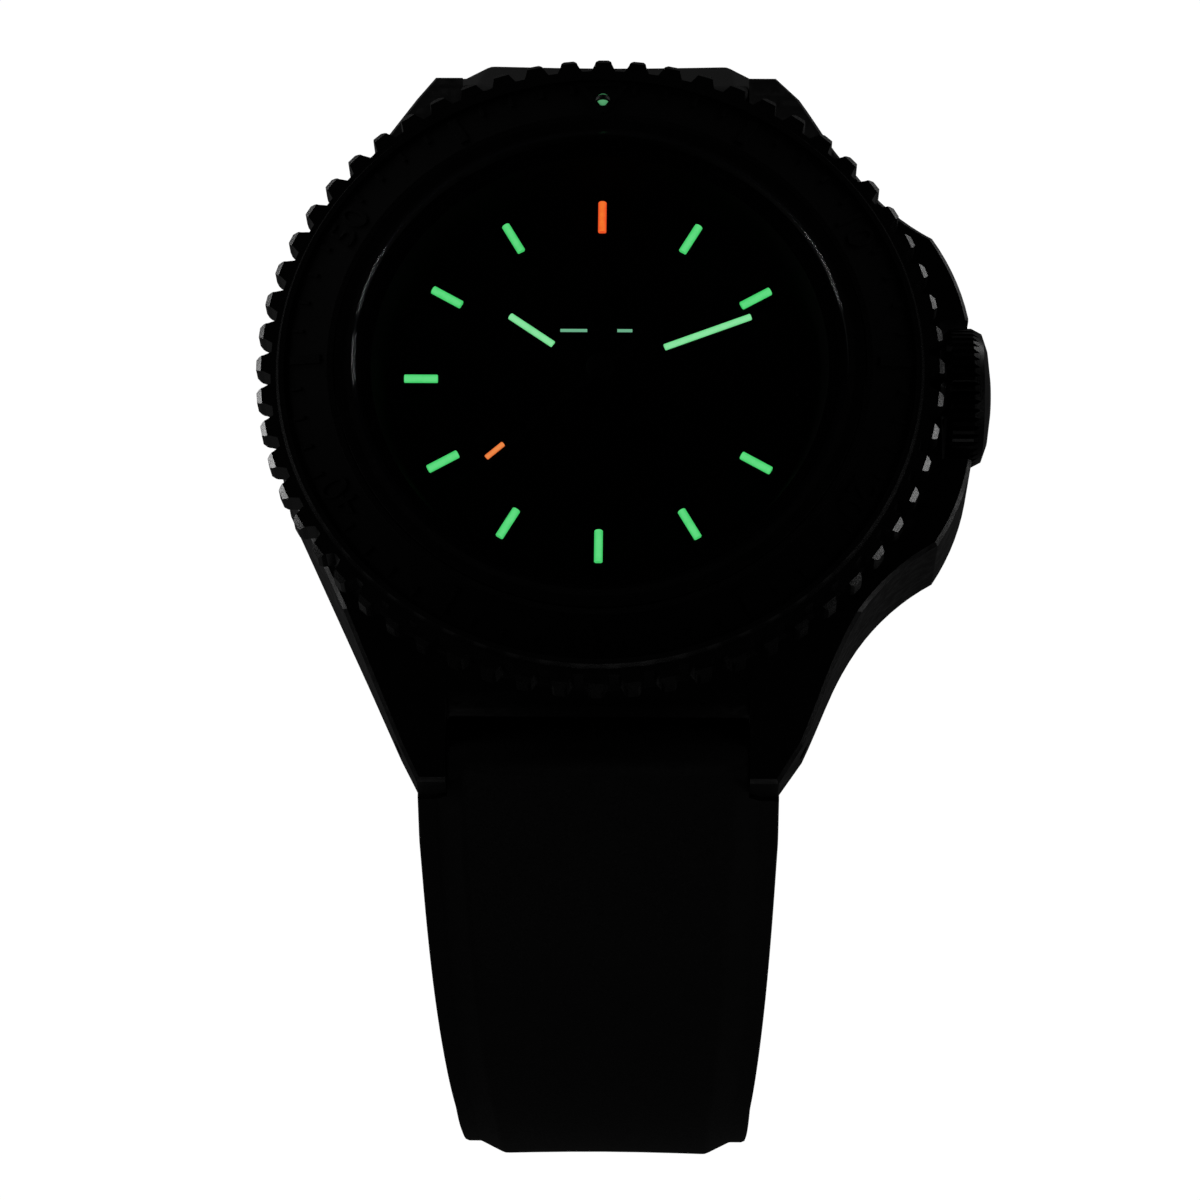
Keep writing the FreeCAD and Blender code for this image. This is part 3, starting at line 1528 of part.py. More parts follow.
def buckle(loop):
    """Two arms from the bar to a thick rail with a groove for the tongue."""
    bar = bar_centre(loop)
    rail = rail_centre(loop)
    arm = mm("buckle_arm_radius")
    inner = mm("buckle_inner_half")
    outer = mm("buckle_outer_half")
    arms = [stadium(bar, rail, arm, low, high) for low, high in ((-outer, -inner), (inner, outer))]
    frame = bar_across(mm("buckle_rail_radius"), rail, outer).fuse(arms)
    half = mm("tongue_notch_half")
    reach = 2 * mm("buckle_rail_radius")
    floor = mm("buckle_groove_floor")
    groove = in_frame(loop, mm("buckle_rail_at"), (-half, -reach, floor),
                      (half, reach, floor + reach))
    bore = bar_across(mm("buckle_pin_bore"), bar, mm("buckle_pin_half"))
    made("buckle_frame", frame.cut([bore, groove]).removeSplitter())
    made("buckle_bar", bar_across(mm("buckle_bar_radius"), bar, mm("buckle_pin_half")))
    tongue(loop, bar)


def tongue(loop, bar):
    """Flat prong from an eye on the bar, bent to lie in the rail's groove."""
    knee = loop.spot(mm("tongue_knee_at"), mm("tongue_knee_rise"))
    tip = loop.spot(mm("tongue_tip_at"), mm("tongue_tip_rise"))
    half = mm("tongue_half")
    thick = mm("tongue_thick")
    prong = stadium(bar, knee, thick, -half, half)
    prong = prong.fuse([stadium(knee, tip, thick, -half, half),
                        bar_across(mm("tongue_eye"), bar, half)])
    bored = prong.cut(bar_across(mm("tongue_bore"), bar, 2 * half))
    made("buckle_tongue", bored.removeSplitter())


def keeper(loop, label, distance):
    """Plain band round both strap layers."""
    clear = mm("keeper_clear")
    wall = mm("keeper_wall")
    length = mm("keeper_length") / 2
    half = mm("strap_end_half") + clear
    low = -mm("strap_thin") - clear
    high = mm("strap_thin") + mm("strap_layer_gap") + clear
    outer = in_frame(loop, distance, (-half - wall, -length, low - wall),
                     (half + wall, length, high + wall))
    inner = in_frame(loop, distance, (-half, -2 * length, low), (half, 2 * length, high))
    made(label, outer.cut(inner))


def strap():
    loop = Loop()
    strap_twelve(loop)
    strap_six(loop)
    spring_bar("spring_bar_twelve", size("bar_y"))
    spring_bar("spring_bar_six", -size("bar_y"))
    buckle(loop)
    keeper(loop, "fixed_keeper", mm("fixed_keeper_at"))
    keeper(loop, "free_keeper", mm("free_keeper_at"))


NODES = [
    "case_middle", "case_back", "case_back_screws", "case_back_gasket", "crystal",
    "crystal_gasket", "rehaut_ring", "dial", "date_window_frame", "dial_dashes", "hour_tubes",
    "twelve_tube", "tube_cradles", "movement_holder", "main_plate", "train_bridge", "battery",
    "circuit_board", "control_chip", "quartz_can", "stator", "coil_core", "coil_winding",
    "stepper_rotor", "intermediate_wheel", "third_wheel", "second_wheel", "minute_pipe",
    "minute_wheel", "hour_wheel", "date_disc", "hour_hand", "hour_hand_tube", "minute_hand",
    "minute_hand_tube", "second_hand", "second_hand_tube", "bezel_ring", "bezel_insert",
    "bezel_pearl", "bezel_retaining_wire", "bezel_click_spring", "bezel_gasket", "crown_tube",
    "crown", "crown_gasket", "stem", "clutch_wheel", "spring_bar_twelve", "spring_bar_six",
    "strap_twelve_half", "strap_six_half", "fixed_keeper", "free_keeper", "buckle_frame",
    "buckle_bar", "buckle_tongue",
]


def build():
    case_middle()
    case_back()
    case_back_screws()
    case_seals()
    crystal()
    rehaut()
    dial()
    markers()
    movement_frame()
    train_bridge()
    power()
    stepper()
    train_wheels()
    minute_wheel()
    centre_wheels()
    date_disc()
    hands()
    bezel_ring()
    bezel_top()
    bezel_hardware()
    crown()
    crown_works()
    strap()


def export():
    doc.recompute()
    for item in doc.Objects:
        if {"Invalid", "Error"} & set(item.State):
            raise RuntimeError(item.Label + " did not compute")
    os.makedirs("parts", exist_ok=True)
    for name in NODES:
        matches = doc.getObjectsByLabel(name)
        if len(matches) != 1:
            raise RuntimeError(str(len(matches)) + " objects are called " + name)
        shape = matches[0].Shape
        if shape.isNull() or not shape.isValid():
            raise RuntimeError(name + " has no valid shape")
        shape.exportStep("parts/" + name + ".step")
        print(name, round(shape.Volume, 3))


build()
export()
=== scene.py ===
import bmesh
import bpy
import json
import math
from mathutils import Matrix, Vector

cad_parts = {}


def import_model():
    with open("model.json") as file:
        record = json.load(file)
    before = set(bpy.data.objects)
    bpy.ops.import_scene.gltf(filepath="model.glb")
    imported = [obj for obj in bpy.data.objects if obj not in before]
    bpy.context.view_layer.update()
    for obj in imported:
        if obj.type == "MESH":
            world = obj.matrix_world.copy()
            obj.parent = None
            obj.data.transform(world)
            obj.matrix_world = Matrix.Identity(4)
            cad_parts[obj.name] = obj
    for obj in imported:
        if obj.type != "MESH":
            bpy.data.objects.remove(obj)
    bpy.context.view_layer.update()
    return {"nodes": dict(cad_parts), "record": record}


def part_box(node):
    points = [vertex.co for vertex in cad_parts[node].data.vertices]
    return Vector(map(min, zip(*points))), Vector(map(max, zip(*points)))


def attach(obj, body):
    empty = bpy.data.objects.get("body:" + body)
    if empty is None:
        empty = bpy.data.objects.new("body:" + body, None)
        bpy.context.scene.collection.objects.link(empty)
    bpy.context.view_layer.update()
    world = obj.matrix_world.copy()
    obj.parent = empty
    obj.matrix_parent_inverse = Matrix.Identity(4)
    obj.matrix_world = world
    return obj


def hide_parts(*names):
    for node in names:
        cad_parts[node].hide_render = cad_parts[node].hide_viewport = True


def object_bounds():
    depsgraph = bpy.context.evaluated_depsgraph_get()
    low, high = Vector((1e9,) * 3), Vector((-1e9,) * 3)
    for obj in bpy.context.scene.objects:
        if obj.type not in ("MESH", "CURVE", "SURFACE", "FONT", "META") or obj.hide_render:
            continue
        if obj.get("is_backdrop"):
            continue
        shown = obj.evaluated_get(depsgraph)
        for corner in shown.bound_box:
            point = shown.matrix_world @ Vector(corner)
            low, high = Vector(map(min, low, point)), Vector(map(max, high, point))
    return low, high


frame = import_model()
MM = 0.001

# ---- materials -------------------------------------------------------------


def new_material(name):
    material = bpy.data.materials.new(name)
    material.use_nodes = True
    nodes = material.node_tree.nodes
    return material, nodes, material.node_tree.links, nodes["Principled BSDF"]


def noise(nodes, links, scale, detail=4.0, stretch=(1.0, 1.0, 1.0)):
    """Noise in object space; scale counts features per metre."""
    coords = nodes.new("ShaderNodeTexCoord")
    mapping = nodes.new("ShaderNodeMapping")
    mapping.inputs["Scale"].default_value = stretch
    texture = nodes.new("ShaderNodeTexNoise")
    texture.inputs["Scale"].default_value = scale
    texture.inputs["Detail"].default_value = detail
    links.new(coords.outputs["Object"], mapping.inputs["Vector"])
    links.new(mapping.outputs["Vector"], texture.inputs["Vector"])
    return texture.outputs["Fac"]


def ramp(nodes, links, source, stops):
    """Colour ramp from (position, value or colour) stops."""
    node = nodes.new("ShaderNodeValToRGB")
    band = node.color_ramp
    while len(band.elements) < len(stops):
        band.elements.new(0.5)
    for element, (position, colour) in zip(band.elements, stops):
        if not isinstance(colour, tuple):
            colour = (colour, colour, colour)
        element.position = position
        element.color = (*colour, 1.0)
    links.new(source, node.inputs["Fac"])
    return node.outputs["Color"]


def bump(nodes, links, shader, height, distance, strength=1.0):
    node = nodes.new("ShaderNodeBump")
    node.inputs["Distance"].default_value = distance
    node.inputs["Strength"].default_value = strength
    links.new(height, node.inputs["Height"])
    links.new(node.outputs["Normal"], shader.inputs["Normal"])


def grained(name, dark, light, rough, scale=9000.0, depth=0.00002, specular=0.5, metal=0.0,
            stretch=(1.0, 1.0, 1.0), mottle=900.0):
    """Surface with mottled colour, uneven gloss and a fine grain."""
    material, nodes, links, shader = new_material(name)
    cloud = noise(nodes, links, mottle, 6.0)
    links.new(ramp(nodes, links, cloud, [(0.35, dark), (0.65, light)]), shader.inputs["Base Color"])
    grain = noise(nodes, links, scale, 3.0, stretch)
    links.new(ramp(nodes, links, grain, [(0.3, rough[0]), (0.7, rough[1])]),
              shader.inputs["Roughness"])
    bump(nodes, links, shader, grain, depth)
    shader.inputs["Specular IOR Level"].default_value = specular
    shader.inputs["Metallic"].default_value = metal
    return material


def brushed(name, dark, light, rough, specular=0.5):
    """Turned or brushed metal with fine lines round the hand axis."""
    material, nodes, links, shader = new_material(name)
    coords = nodes.new("ShaderNodeTexCoord")
    parts = nodes.new("ShaderNodeSeparateXYZ")
    links.new(coords.outputs["Object"], parts.inputs["Vector"])
    radius = nodes.new("ShaderNodeVectorMath")
    radius.operation = "LENGTH"
    flat = nodes.new("ShaderNodeCombineXYZ")
    links.new(parts.outputs["X"], flat.inputs["X"])
    links.new(parts.outputs["Y"], flat.inputs["Y"])
    links.new(flat.outputs["Vector"], radius.inputs[0])
    line = nodes.new("ShaderNodeCombineXYZ")
    links.new(radius.outputs["Value"], line.inputs["X"])
    links.new(parts.outputs["Z"], line.inputs["Z"])
    texture = nodes.new("ShaderNodeTexNoise")
    texture.inputs["Scale"].default_value = 14000.0
    texture.inputs["Detail"].default_value = 2.0
    links.new(line.outputs["Vector"], texture.inputs["Vector"])
    lines = texture.outputs["Fac"]
    links.new(ramp(nodes, links, lines, [(0.3, dark), (0.7, light)]), shader.inputs["Base Color"])
    links.new(ramp(nodes, links, lines, [(0.3, rough[0]), (0.7, rough[1])]),
              shader.inputs["Roughness"])
    bump(nodes, links, shader, lines, 0.000006)
    shader.inputs["Metallic"].default_value = 1.0
    shader.inputs["Specular IOR Level"].default_value = specular
    return material


def glowing(name, core, rim, strength):
    """Gas tube: glass round a glowing coat, paler along its middle. Also gives the dial dashes their
    glow, a painted reflection of the tubes' light.
    """
    material, nodes, links, shader = new_material(name)
    shader.inputs["Base Color"].default_value = (*[c * 0.04 for c in rim], 1.0)
    shader.inputs["Roughness"].default_value = 0.2
    shader.inputs["Specular IOR Level"].default_value = 0.1
    weight = nodes.new("ShaderNodeLayerWeight")
    weight.inputs["Blend"].default_value = 0.35
    patches = noise(nodes, links, 1800.0, 2.0)
    mixer = nodes.new("ShaderNodeMath")
    mixer.operation = "MULTIPLY_ADD"
    mixer.inputs[1].default_value = 0.45
    links.new(patches, mixer.inputs[0])
    links.new(weight.outputs["Facing"], mixer.inputs[2])
    links.new(ramp(nodes, links, mixer.outputs["Value"], [(0.25, core), (0.6, rim)]),
              shader.inputs["Emission Color"])
    shader.inputs["Emission Strength"].default_value = strength
    return material


def crystal_glass():
    """Clear coated glass: nearly nothing face on, a soft sheen at the edge."""
    material, nodes, links, shader = new_material("sapphire_clear")
    shader.inputs["Base Color"].default_value = (0.02, 0.022, 0.028, 1.0)
    smudge = noise(nodes, links, 260.0, 5.0)
    links.new(ramp(nodes, links, smudge, [(0.3, 0.02), (0.75, 0.07)]), shader.inputs["Roughness"])
    weight = nodes.new("ShaderNodeLayerWeight")
    weight.inputs["Blend"].default_value = 0.25
    links.new(ramp(nodes, links, weight.outputs["Facing"],
                   [(0.0, 0.03), (0.55, 0.08), (1.0, 0.5)]), shader.inputs["Alpha"])
    return material


def carbon(name, dark, light, rough):
    """Moulded short-fibre composite: thin streaks in crossed directions."""
    material, nodes, links, shader = new_material(name)
    first = noise(nodes, links, 1500.0, 3.0, (1.0, 0.12, 1.0))
    second = noise(nodes, links, 1500.0, 3.0, (0.12, 1.0, 1.0))
    mix = nodes.new("ShaderNodeMath")
    mix.operation = "MAXIMUM"
    links.new(first, mix.inputs[0])
    links.new(second, mix.inputs[1])
    fibres = mix.outputs["Value"]
    links.new(ramp(nodes, links, fibres, [(0.52, dark), (0.68, light)]),
              shader.inputs["Base Color"])
    links.new(ramp(nodes, links, fibres, [(0.45, rough[1]), (0.7, rough[0])]),
              shader.inputs["Roughness"])
    bump(nodes, links, shader, noise(nodes, links, 16000.0, 2.0), 0.000012)
    shader.inputs["Specular IOR Level"].default_value = 0.22
    return material


MATERIALS = {
    "carbon_case": carbon("carbon_composite", 0.0008, 0.004, (0.3, 0.5)),
    "bezel_black": grained("bezel_black", 0.0012, 0.0025, (0.2, 0.32), 12000.0, 0.000006, 0.6),
    "black_steel": brushed("black_coated_steel", 0.008, 0.018, (0.25, 0.38), 0.3),
    "steel": brushed("turned_steel", 0.42, 0.6, (0.22, 0.38)),
    "seal_rubber": grained("seal_rubber", 0.004, 0.008, (0.6, 0.75), specular=0.2),
    "sapphire": crystal_glass(),
    "black_dial": grained("dial_black", 0.0012, 0.0022, (0.75, 0.9), 26000.0, 0.000008, 0.08),
    "green_tube": glowing("tube_green", (0.125, 0.76, 0.235), (0.06, 0.63, 0.15), 1.0),
    "orange_tube": glowing("tube_orange", (0.98, 0.20, 0.03), (0.90, 0.09, 0.02), 1.0),
    "hand_tube": glowing("tube_pale_green", (0.27, 0.83, 0.38), (0.17, 0.72, 0.27), 1.0),
    "second_tube": glowing("tube_pale_orange", (0.90, 0.27, 0.07), (0.80, 0.17, 0.04), 1.0),
    # Dial dashes: a dim green glow painted on them, a painted reflection of the tubes' light rather
    # than a light of their own.
    "dial_dash": glowing("dash_painted_reflection", (0.16, 0.46, 0.27), (0.14, 0.40, 0.24), 1.0),
    "pearl": glowing("pearl_glow", (0.09, 0.35, 0.15), (0.05, 0.22, 0.09), 1.0),
    "hand_black": grained("hand_black", 0.0015, 0.003, (0.6, 0.8), specular=0.1),
    "insert_black": grained("insert_black", 0.0010, 0.0018, (0.45, 0.55), 22000.0, 0.000004, 0.15),
    "movement_plastic": grained("moulded_white", 0.55, 0.66, (0.45, 0.6)),
    "brass": brushed("turned_brass", (0.62, 0.44, 0.16), (0.82, 0.62, 0.28), (0.22, 0.36)),
    "magnet": grained("magnet_grey", 0.06, 0.12, (0.4, 0.55), metal=1.0),
    "cell_steel": brushed("nickel_can", 0.55, 0.72, (0.18, 0.3)),
    "board_green": grained("board_green", (0.01, 0.07, 0.025), (0.02, 0.12, 0.045), (0.25, 0.4)),
    "chip_black": grained("chip_resin", 0.012, 0.02, (0.5, 0.65)),
    "coil_copper": grained("copper_wire", (0.45, 0.16, 0.06), (0.68, 0.3, 0.12), (0.25, 0.4),
                           9000.0, 0.00004, metal=1.0, stretch=(6.0, 0.2, 0.2)),
    "date_black": grained("date_black", 0.003, 0.005, (0.5, 0.65), specular=0.1),
    "strap_rubber": grained("strap_rubber", 0.0010, 0.0022, (0.55, 0.7), 7000.0, 0.00002, 0.16),
    "print_grey": grained("print_grey", 0.006, 0.010, (0.6, 0.75), specular=0.08),
    "print_relief": grained("print_relief", 0.0025, 0.0045, (0.35, 0.45), specular=0.15),
}

# CAD nodes whose finish differs from their material slot's.
NODE_FINISH = {"bezel_ring": "bezel_black", "date_disc": "date_black"}
SLOT_OF = {entry["node"]: entry["material_slot"] for entry in frame["record"]["subparts"]}


def dress_frame():
    """Give every CAD node its material."""
    for name, item in frame["nodes"].items():
        key = NODE_FINISH.get(name, SLOT_OF[name])
        material = MATERIALS[key]
        item.data.materials.clear()
        item.data.materials.append(material)


# ---- mesh helpers ----------------------------------------------------------

def new_piece(name, mesh, material, body):
    """Object that rides on a body and fills a material slot."""
    item = bpy.data.objects.new(name, mesh)
    bpy.context.scene.collection.objects.link(item)
    mesh.materials.clear()
    mesh.materials.append(MATERIALS[material])
    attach(item, body)
    return item


def ring_mesh(name, rings, closed=False):
    """Skin through rings of points; open ends are capped."""
    count = len(rings[0])
    vertices = [point for ring in rings for point in ring]
    faces = []
    last = len(rings) if closed else len(rings) - 1
    for r in range(last):
        low = r * count
        high = ((r + 1) % len(rings)) * count
        for k in range(count):
            faces.append((low + k, low + (k + 1) % count, high + (k + 1) % count, high + k))
    if not closed:
        faces.append(tuple(range(count)))
        faces.append(tuple(reversed(range(len(vertices) - count, len(vertices)))))
    mesh = bpy.data.meshes.new(name)
    mesh.from_pydata(vertices, [], faces)
    tidy_mesh(mesh)
    return mesh


def tidy_mesh(mesh, angle=35.0):
    """Outward normals, smooth faces and sharp edges past the angle."""
    bm = bmesh.new()
    bm.from_mesh(mesh)
    bmesh.ops.recalc_face_normals(bm, faces=bm.faces)
    for edge in bm.edges:
        edge.smooth = len(edge.link_faces) == 2 and edge.calc_face_angle(0) < math.radians(angle)
    for face in bm.faces:
        face.smooth = True
    bm.to_mesh(mesh)
    bm.free()


def applied(item):
    """A new mesh of the item as it stands, with modifiers applied and text filled."""
    bpy.context.view_layer.update()
    evaluated = item.evaluated_get(bpy.context.evaluated_depsgraph_get())
    return bpy.data.meshes.new_from_object(evaluated)


def carve(mesh, cutters, name):
    """Boolean difference of closed meshes."""
    body = bpy.data.objects.new(name + "_work", mesh)
    bpy.context.scene.collection.objects.link(body)
    helpers = []
    for n, cutter in enumerate(cutters):
        helper = bpy.data.objects.new(name + "_cutter_" + str(n), cutter)
        bpy.context.scene.collection.objects.link(helper)
        helpers.append(helper)
        modifier = body.modifiers.new("cut", "BOOLEAN")
        modifier.operation = "DIFFERENCE"
        modifier.solver = "EXACT"
        modifier.object = helper
    result = applied(body)
    for item in [body] + helpers:
        bpy.data.objects.remove(item)
    tidy_mesh(result)
    return result


def joined(name, meshes):
    """Several meshes in one, kept as separate closed shells."""
    bm = bmesh.new()
    for mesh in meshes:
        bm.from_mesh(mesh)
    mesh = bpy.data.meshes.new(name)
    bm.to_mesh(mesh)
    bm.free()
    tidy_mesh(mesh)
    return mesh


# ---- strap -----------------------------------------------------------------

BAR = [sum(pair) / 2 / MM for pair in zip(*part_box("spring_bar_twelve"))]
HEAD = 2.2
LUG_ANGLE = math.radians(57.5)
SIDE_ANGLE = math.radians(100.0)
CORNER_ANGLE = math.radians(155.0)
STRAIGHT = 11.5
SIDE_RADIUS = 55.0
CORNER_RADIUS = 18.0
THIN = 3.0
THIN_FROM = 38.0
LAYER_GAP = 0.35
SWELL = 0.22
SWELL_REACH = 34.0
NARROW = 10.0
# Half width of the strap against height, from the lugs down to the buckle.
TAPER = ((-3.0, 12.1), (-34.0, 10.75), (-52.0, 10.6), (-61.0, NARROW))
HEAD_HALF = 10.06
LUG_END = 26.45
LUG_FOOT = -0.6
BUCKLE_AT = 8.0
TAIL = 34.0
TAIL_ROUND = 9.0
# The tail's outline is a superellipse that ends in a short flat.
TAIL_FULLNESS = 2.6
TAIL_NOSE = 1 / 2.2
TAIL_END_HALF = 0.05
# Where the outer half starts to climb on to the inner half, and where it is fully on it.
RAMP = (-1.5, 9.0)
# Outer face: width of the flat border, where its bevel ends, and how far the border lies lower.
BORDER = 1.2
BEVEL_END = 3.1
BORDER_DROP = 0.9
STRAP_SOFT = 0.35
MARK_STEP = 0.8
TAIL_STEP = 0.35
TONGUE_SLOT = (-0.9, 7.1)
HOLE_MIDDLES = (-7.3, -13.7, -20.1, 11.0, 18.3, 25.6)
HOLE_REACH = 1.9
HOLE_HALF = 1.2
SLOT_SIDES = 24
# Room for the tongue and the bar in the middle of the buckle end.
NOTCH_HALF = 1.1
NOTCH_START = BUCKLE_AT - 4.0
NOTCH_SHOULDER = BUCKLE_AT + 1.6
NOTCH_END = BUCKLE_AT + 2.1
NOTCH_END_HALF = 0.7
CUT_DEPTH = (-5.0, 2.0)
KEEPER_FIXED_AT = 14.5
KEEPER_FREE_AT = 22.3
# Blocks round the lugs: how far they reach inwards, sideways and up.
LUG_ROOM = (15.0, 14.0, 9.0)


def arc_end(start, radius, first, last):
    return (start[0] + radius * (math.sin(last) - math.sin(first)),
            start[1] - radius * (math.cos(first) - math.cos(last)))


class Loop:
    """Outer face of the closed strap, in millimetres from the bottom middle."""

    def __init__(self):
        first = (BAR[1] + HEAD * math.sin(LUG_ANGLE), BAR[2] + HEAD * math.cos(LUG_ANGLE))
        second = (first[0] + STRAIGHT * math.cos(LUG_ANGLE),
                  first[1] - STRAIGHT * math.sin(LUG_ANGLE))
        third = arc_end(second, SIDE_RADIUS, LUG_ANGLE, SIDE_ANGLE)
        fourth = arc_end(third, CORNER_RADIUS, SIDE_ANGLE, CORNER_ANGLE)
        self.radius = fourth[0] / math.sin(CORNER_ANGLE)
        self.centre = fourth[1] - self.radius * math.cos(CORNER_ANGLE)
        self.spans = [
            (self.radius * (math.pi - CORNER_ANGLE), self.radius, math.pi),
            (CORNER_RADIUS * (CORNER_ANGLE - SIDE_ANGLE), CORNER_RADIUS, CORNER_ANGLE),
            (SIDE_RADIUS * (SIDE_ANGLE - LUG_ANGLE), SIDE_RADIUS, SIDE_ANGLE),
            (STRAIGHT, None, LUG_ANGLE),
        ]
        self.length = sum(span[0] for span in self.spans)

    def walk(self, left):
        y, z = 0.0, self.centre - self.radius
        for length, radius, angle in self.spans:
            step = min(left, length)
            if radius is None:
                y -= step * math.cos(angle)
                z += step * math.sin(angle)
                end = angle
            else:
                end = angle - step / radius
                y -= radius * (math.sin(angle) - math.sin(end))
                z += radius * (math.cos(end) - math.cos(angle))
            left -= step
            if left <= 0:
                break
        return y, z, end

    def point(self, distance, across, out):
        """Point in metres: across the strap and out of its outer face."""
        y, z, angle = self.walk(min(abs(distance), self.length))
        y += out * math.sin(angle)
        z += out * math.cos(angle)
        return (across * MM, math.copysign(y, distance) * MM, z * MM)


LOOP = Loop()


def thickness(distance):
    """Full at the lugs, thin from THIN_FROM on."""
    share = min((LOOP.length - abs(distance)) / THIN_FROM, 1.0)
    return 2 * HEAD + (THIN - 2 * HEAD) * share


def swell(distance):
    """Extra rise of the outer face, fullest a little way down from the lugs."""
    share = (LOOP.length - abs(distance)) / SWELL_REACH
    return SWELL * math.sin(math.pi * share) ** 2 if share < 1 else 0.0


def tail_lift(distance):
    """How far the long half is lifted to lie on the short one."""
    share = (distance - RAMP[0]) / (RAMP[1] - RAMP[0])
    share = min(max(share, 0.0), 1.0)
    return (THIN + LAYER_GAP) * share * share * (3 - 2 * share)


def taper(distance):
    """Half width of the strap, read from the height of its outer face."""
    z = LOOP.walk(min(abs(distance), LOOP.length))[1]
    for (high, wide), (low, narrow) in zip(TAPER, TAPER[1:]):
        if z > low:
            share = min((high - z) / (high - low), 1.0)
            return wide + (narrow - wide) * max(share, 0.0)
    return NARROW


def half_width(distance, tail):
    """Half width with the rounded tail."""
    width = taper(distance)
    if tail and distance > TAIL - TAIL_ROUND:
        share = (distance - TAIL + TAIL_ROUND) / TAIL_ROUND
        return width * (1 - share ** TAIL_FULLNESS) ** TAIL_NOSE + TAIL_END_HALF
    return width


def section(width, thick):
    """Cross-section as (across, out) points: flat borders, bevels, raised middle."""
    edge = min(BORDER, width * 0.3)
    bevel = min(BEVEL_END, width * 0.6)
    drop = BORDER_DROP
    soft = STRAP_SOFT
    crown = [(width, -drop - soft), (width - 0.1, -drop - 0.1), (width - soft, -drop),
             (width - edge, -drop), (width - edge - 0.15, -drop + 0.05),
             (width - bevel + 0.25, -0.1), (width - bevel, -0.01), (width - bevel - 0.3, 0.0),
             (width * 0.5, -0.05), (width * 0.25, -0.1), (0.0, -0.12)]
    under = [(0.0, -thick + 0.15), (width * 0.5, -thick + 0.12), (width * 0.8, -thick + 0.02),
             (width - 0.6, -thick), (width - 0.15, -thick + 0.12), (width, -thick + 0.5)]
    right = under + crown
    left = [(-x, v) for x, v in reversed(right[1:-1])]
    return right + left


def strap_skin(name, marks, tail, lift):
    """Closed skin of one strap half through sections at the marks."""
    rings = []
    for distance in marks:
        width = half_width(distance, tail)
        rise = swell(distance)
        ring = [LOOP.point(distance, x, v + lift(distance) + (rise if v > -THIN / 2 else 0.0))
                for x, v in section(width, thickness(distance))]
        rings.append(ring)
    return ring_mesh(name, rings)


def spread(start, end, step):
    """Even marks from start to end, about a step apart."""
    count = max(1, round(abs(end - start) / step))
    return [start + (end - start) * n / count for n in range(count + 1)]


def cylinder_mesh(name, centre, radius, low, high, soft=0.25, sides=40):
    """Cylinder along X with softened ends; centre is (y, z) in millimetres."""
    rings = []
    for x, r in ((low, radius - soft), (low + soft * 0.3, radius - soft * 0.3),
                 (low + soft, radius), (high - soft, radius),
                 (high - soft * 0.3, radius - soft * 0.3), (high, radius - soft)):
        rings.append([(x * MM, (centre[0] + r * math.cos(a)) * MM, (centre[1] + r * math.sin(a)) * MM)
                      for a in [2 * math.pi * k / sides for k in range(sides)]])
    return ring_mesh(name, rings)


def slot_cutter(name, start, end, half):
    """Rounded slot through the outer strap half between two distances."""
    outline = []
    for k in range(SLOT_SIDES):
        angle = 2 * math.pi * k / SLOT_SIDES
        along = half * math.cos(angle)
        along += (end - half) if math.cos(angle) > 0 else (start + half)
        outline.append((half * math.sin(angle), along))
    rings = [[LOOP.point(along, x, tail_lift(along) + out) for x, along in outline]
             for out in (-THIN - 0.2, 1.0)]
    return ring_mesh(name, rings)


def bar_point(distance, out):
    """Point of the loop's middle plane as (y, z) in millimetres."""
    point = LOOP.point(distance, 0, out)
    return point[1] / MM, point[2] / MM


def notch_cutter():
    """Opening for the tongue and the bar at the buckle end."""
    outline = [(-NOTCH_HALF, NOTCH_START), (NOTCH_HALF, NOTCH_START),
               (NOTCH_HALF, NOTCH_SHOULDER), (NOTCH_END_HALF, NOTCH_END),
               (-NOTCH_END_HALF, NOTCH_END), (-NOTCH_HALF, NOTCH_SHOULDER)]
    rings = [[LOOP.point(along, x, out) for x, along in outline] for out in CUT_DEPTH]
    return ring_mesh("notch", rings)


def flat(distance):
    return 0.0


def lug_cutters(side):
    """Blocks that clear the two lugs beside the strap head."""
    start, reach, top = LUG_ROOM
    near, far = sorted((side * start, side * LUG_END))
    cutters = []
    for low, high in ((HEAD_HALF, reach), (-reach, -HEAD_HALF)):
        rings = [[(x * MM, y * MM, z * MM) for x, z in
                  ((low, LUG_FOOT), (high, LUG_FOOT), (high, top), (low, top))]
                 for y in (near, far)]
        cutters.append(ring_mesh("lug_room", rings))
    return cutters


def strap_twelve():
    """Short half: lugs to buckle, with the eye round the buckle bar."""
    marks = spread(BUCKLE_AT, LOOP.length, MARK_STEP)
    twelve = strap_skin("strap_twelve", marks, False, flat)
    twelve = carve(twelve, [notch_cutter()] + lug_cutters(1), "strap_twelve")
    head = cylinder_mesh("head", (BAR[1], BAR[2]), HEAD, -HEAD_HALF, HEAD_HALF)
    eye = cylinder_mesh("eye", bar_point(BUCKLE_AT, -THIN / 2), THIN / 2, -NARROW, NARROW, 0.35)
    eye = carve(eye, [notch_cutter()], "eye")
    mesh = joined("strap_twelve_detail", [twelve, head, eye])
    twelve = new_piece("strap_twelve", mesh, "strap_rubber", "watch")
    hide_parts("strap_twelve_half")


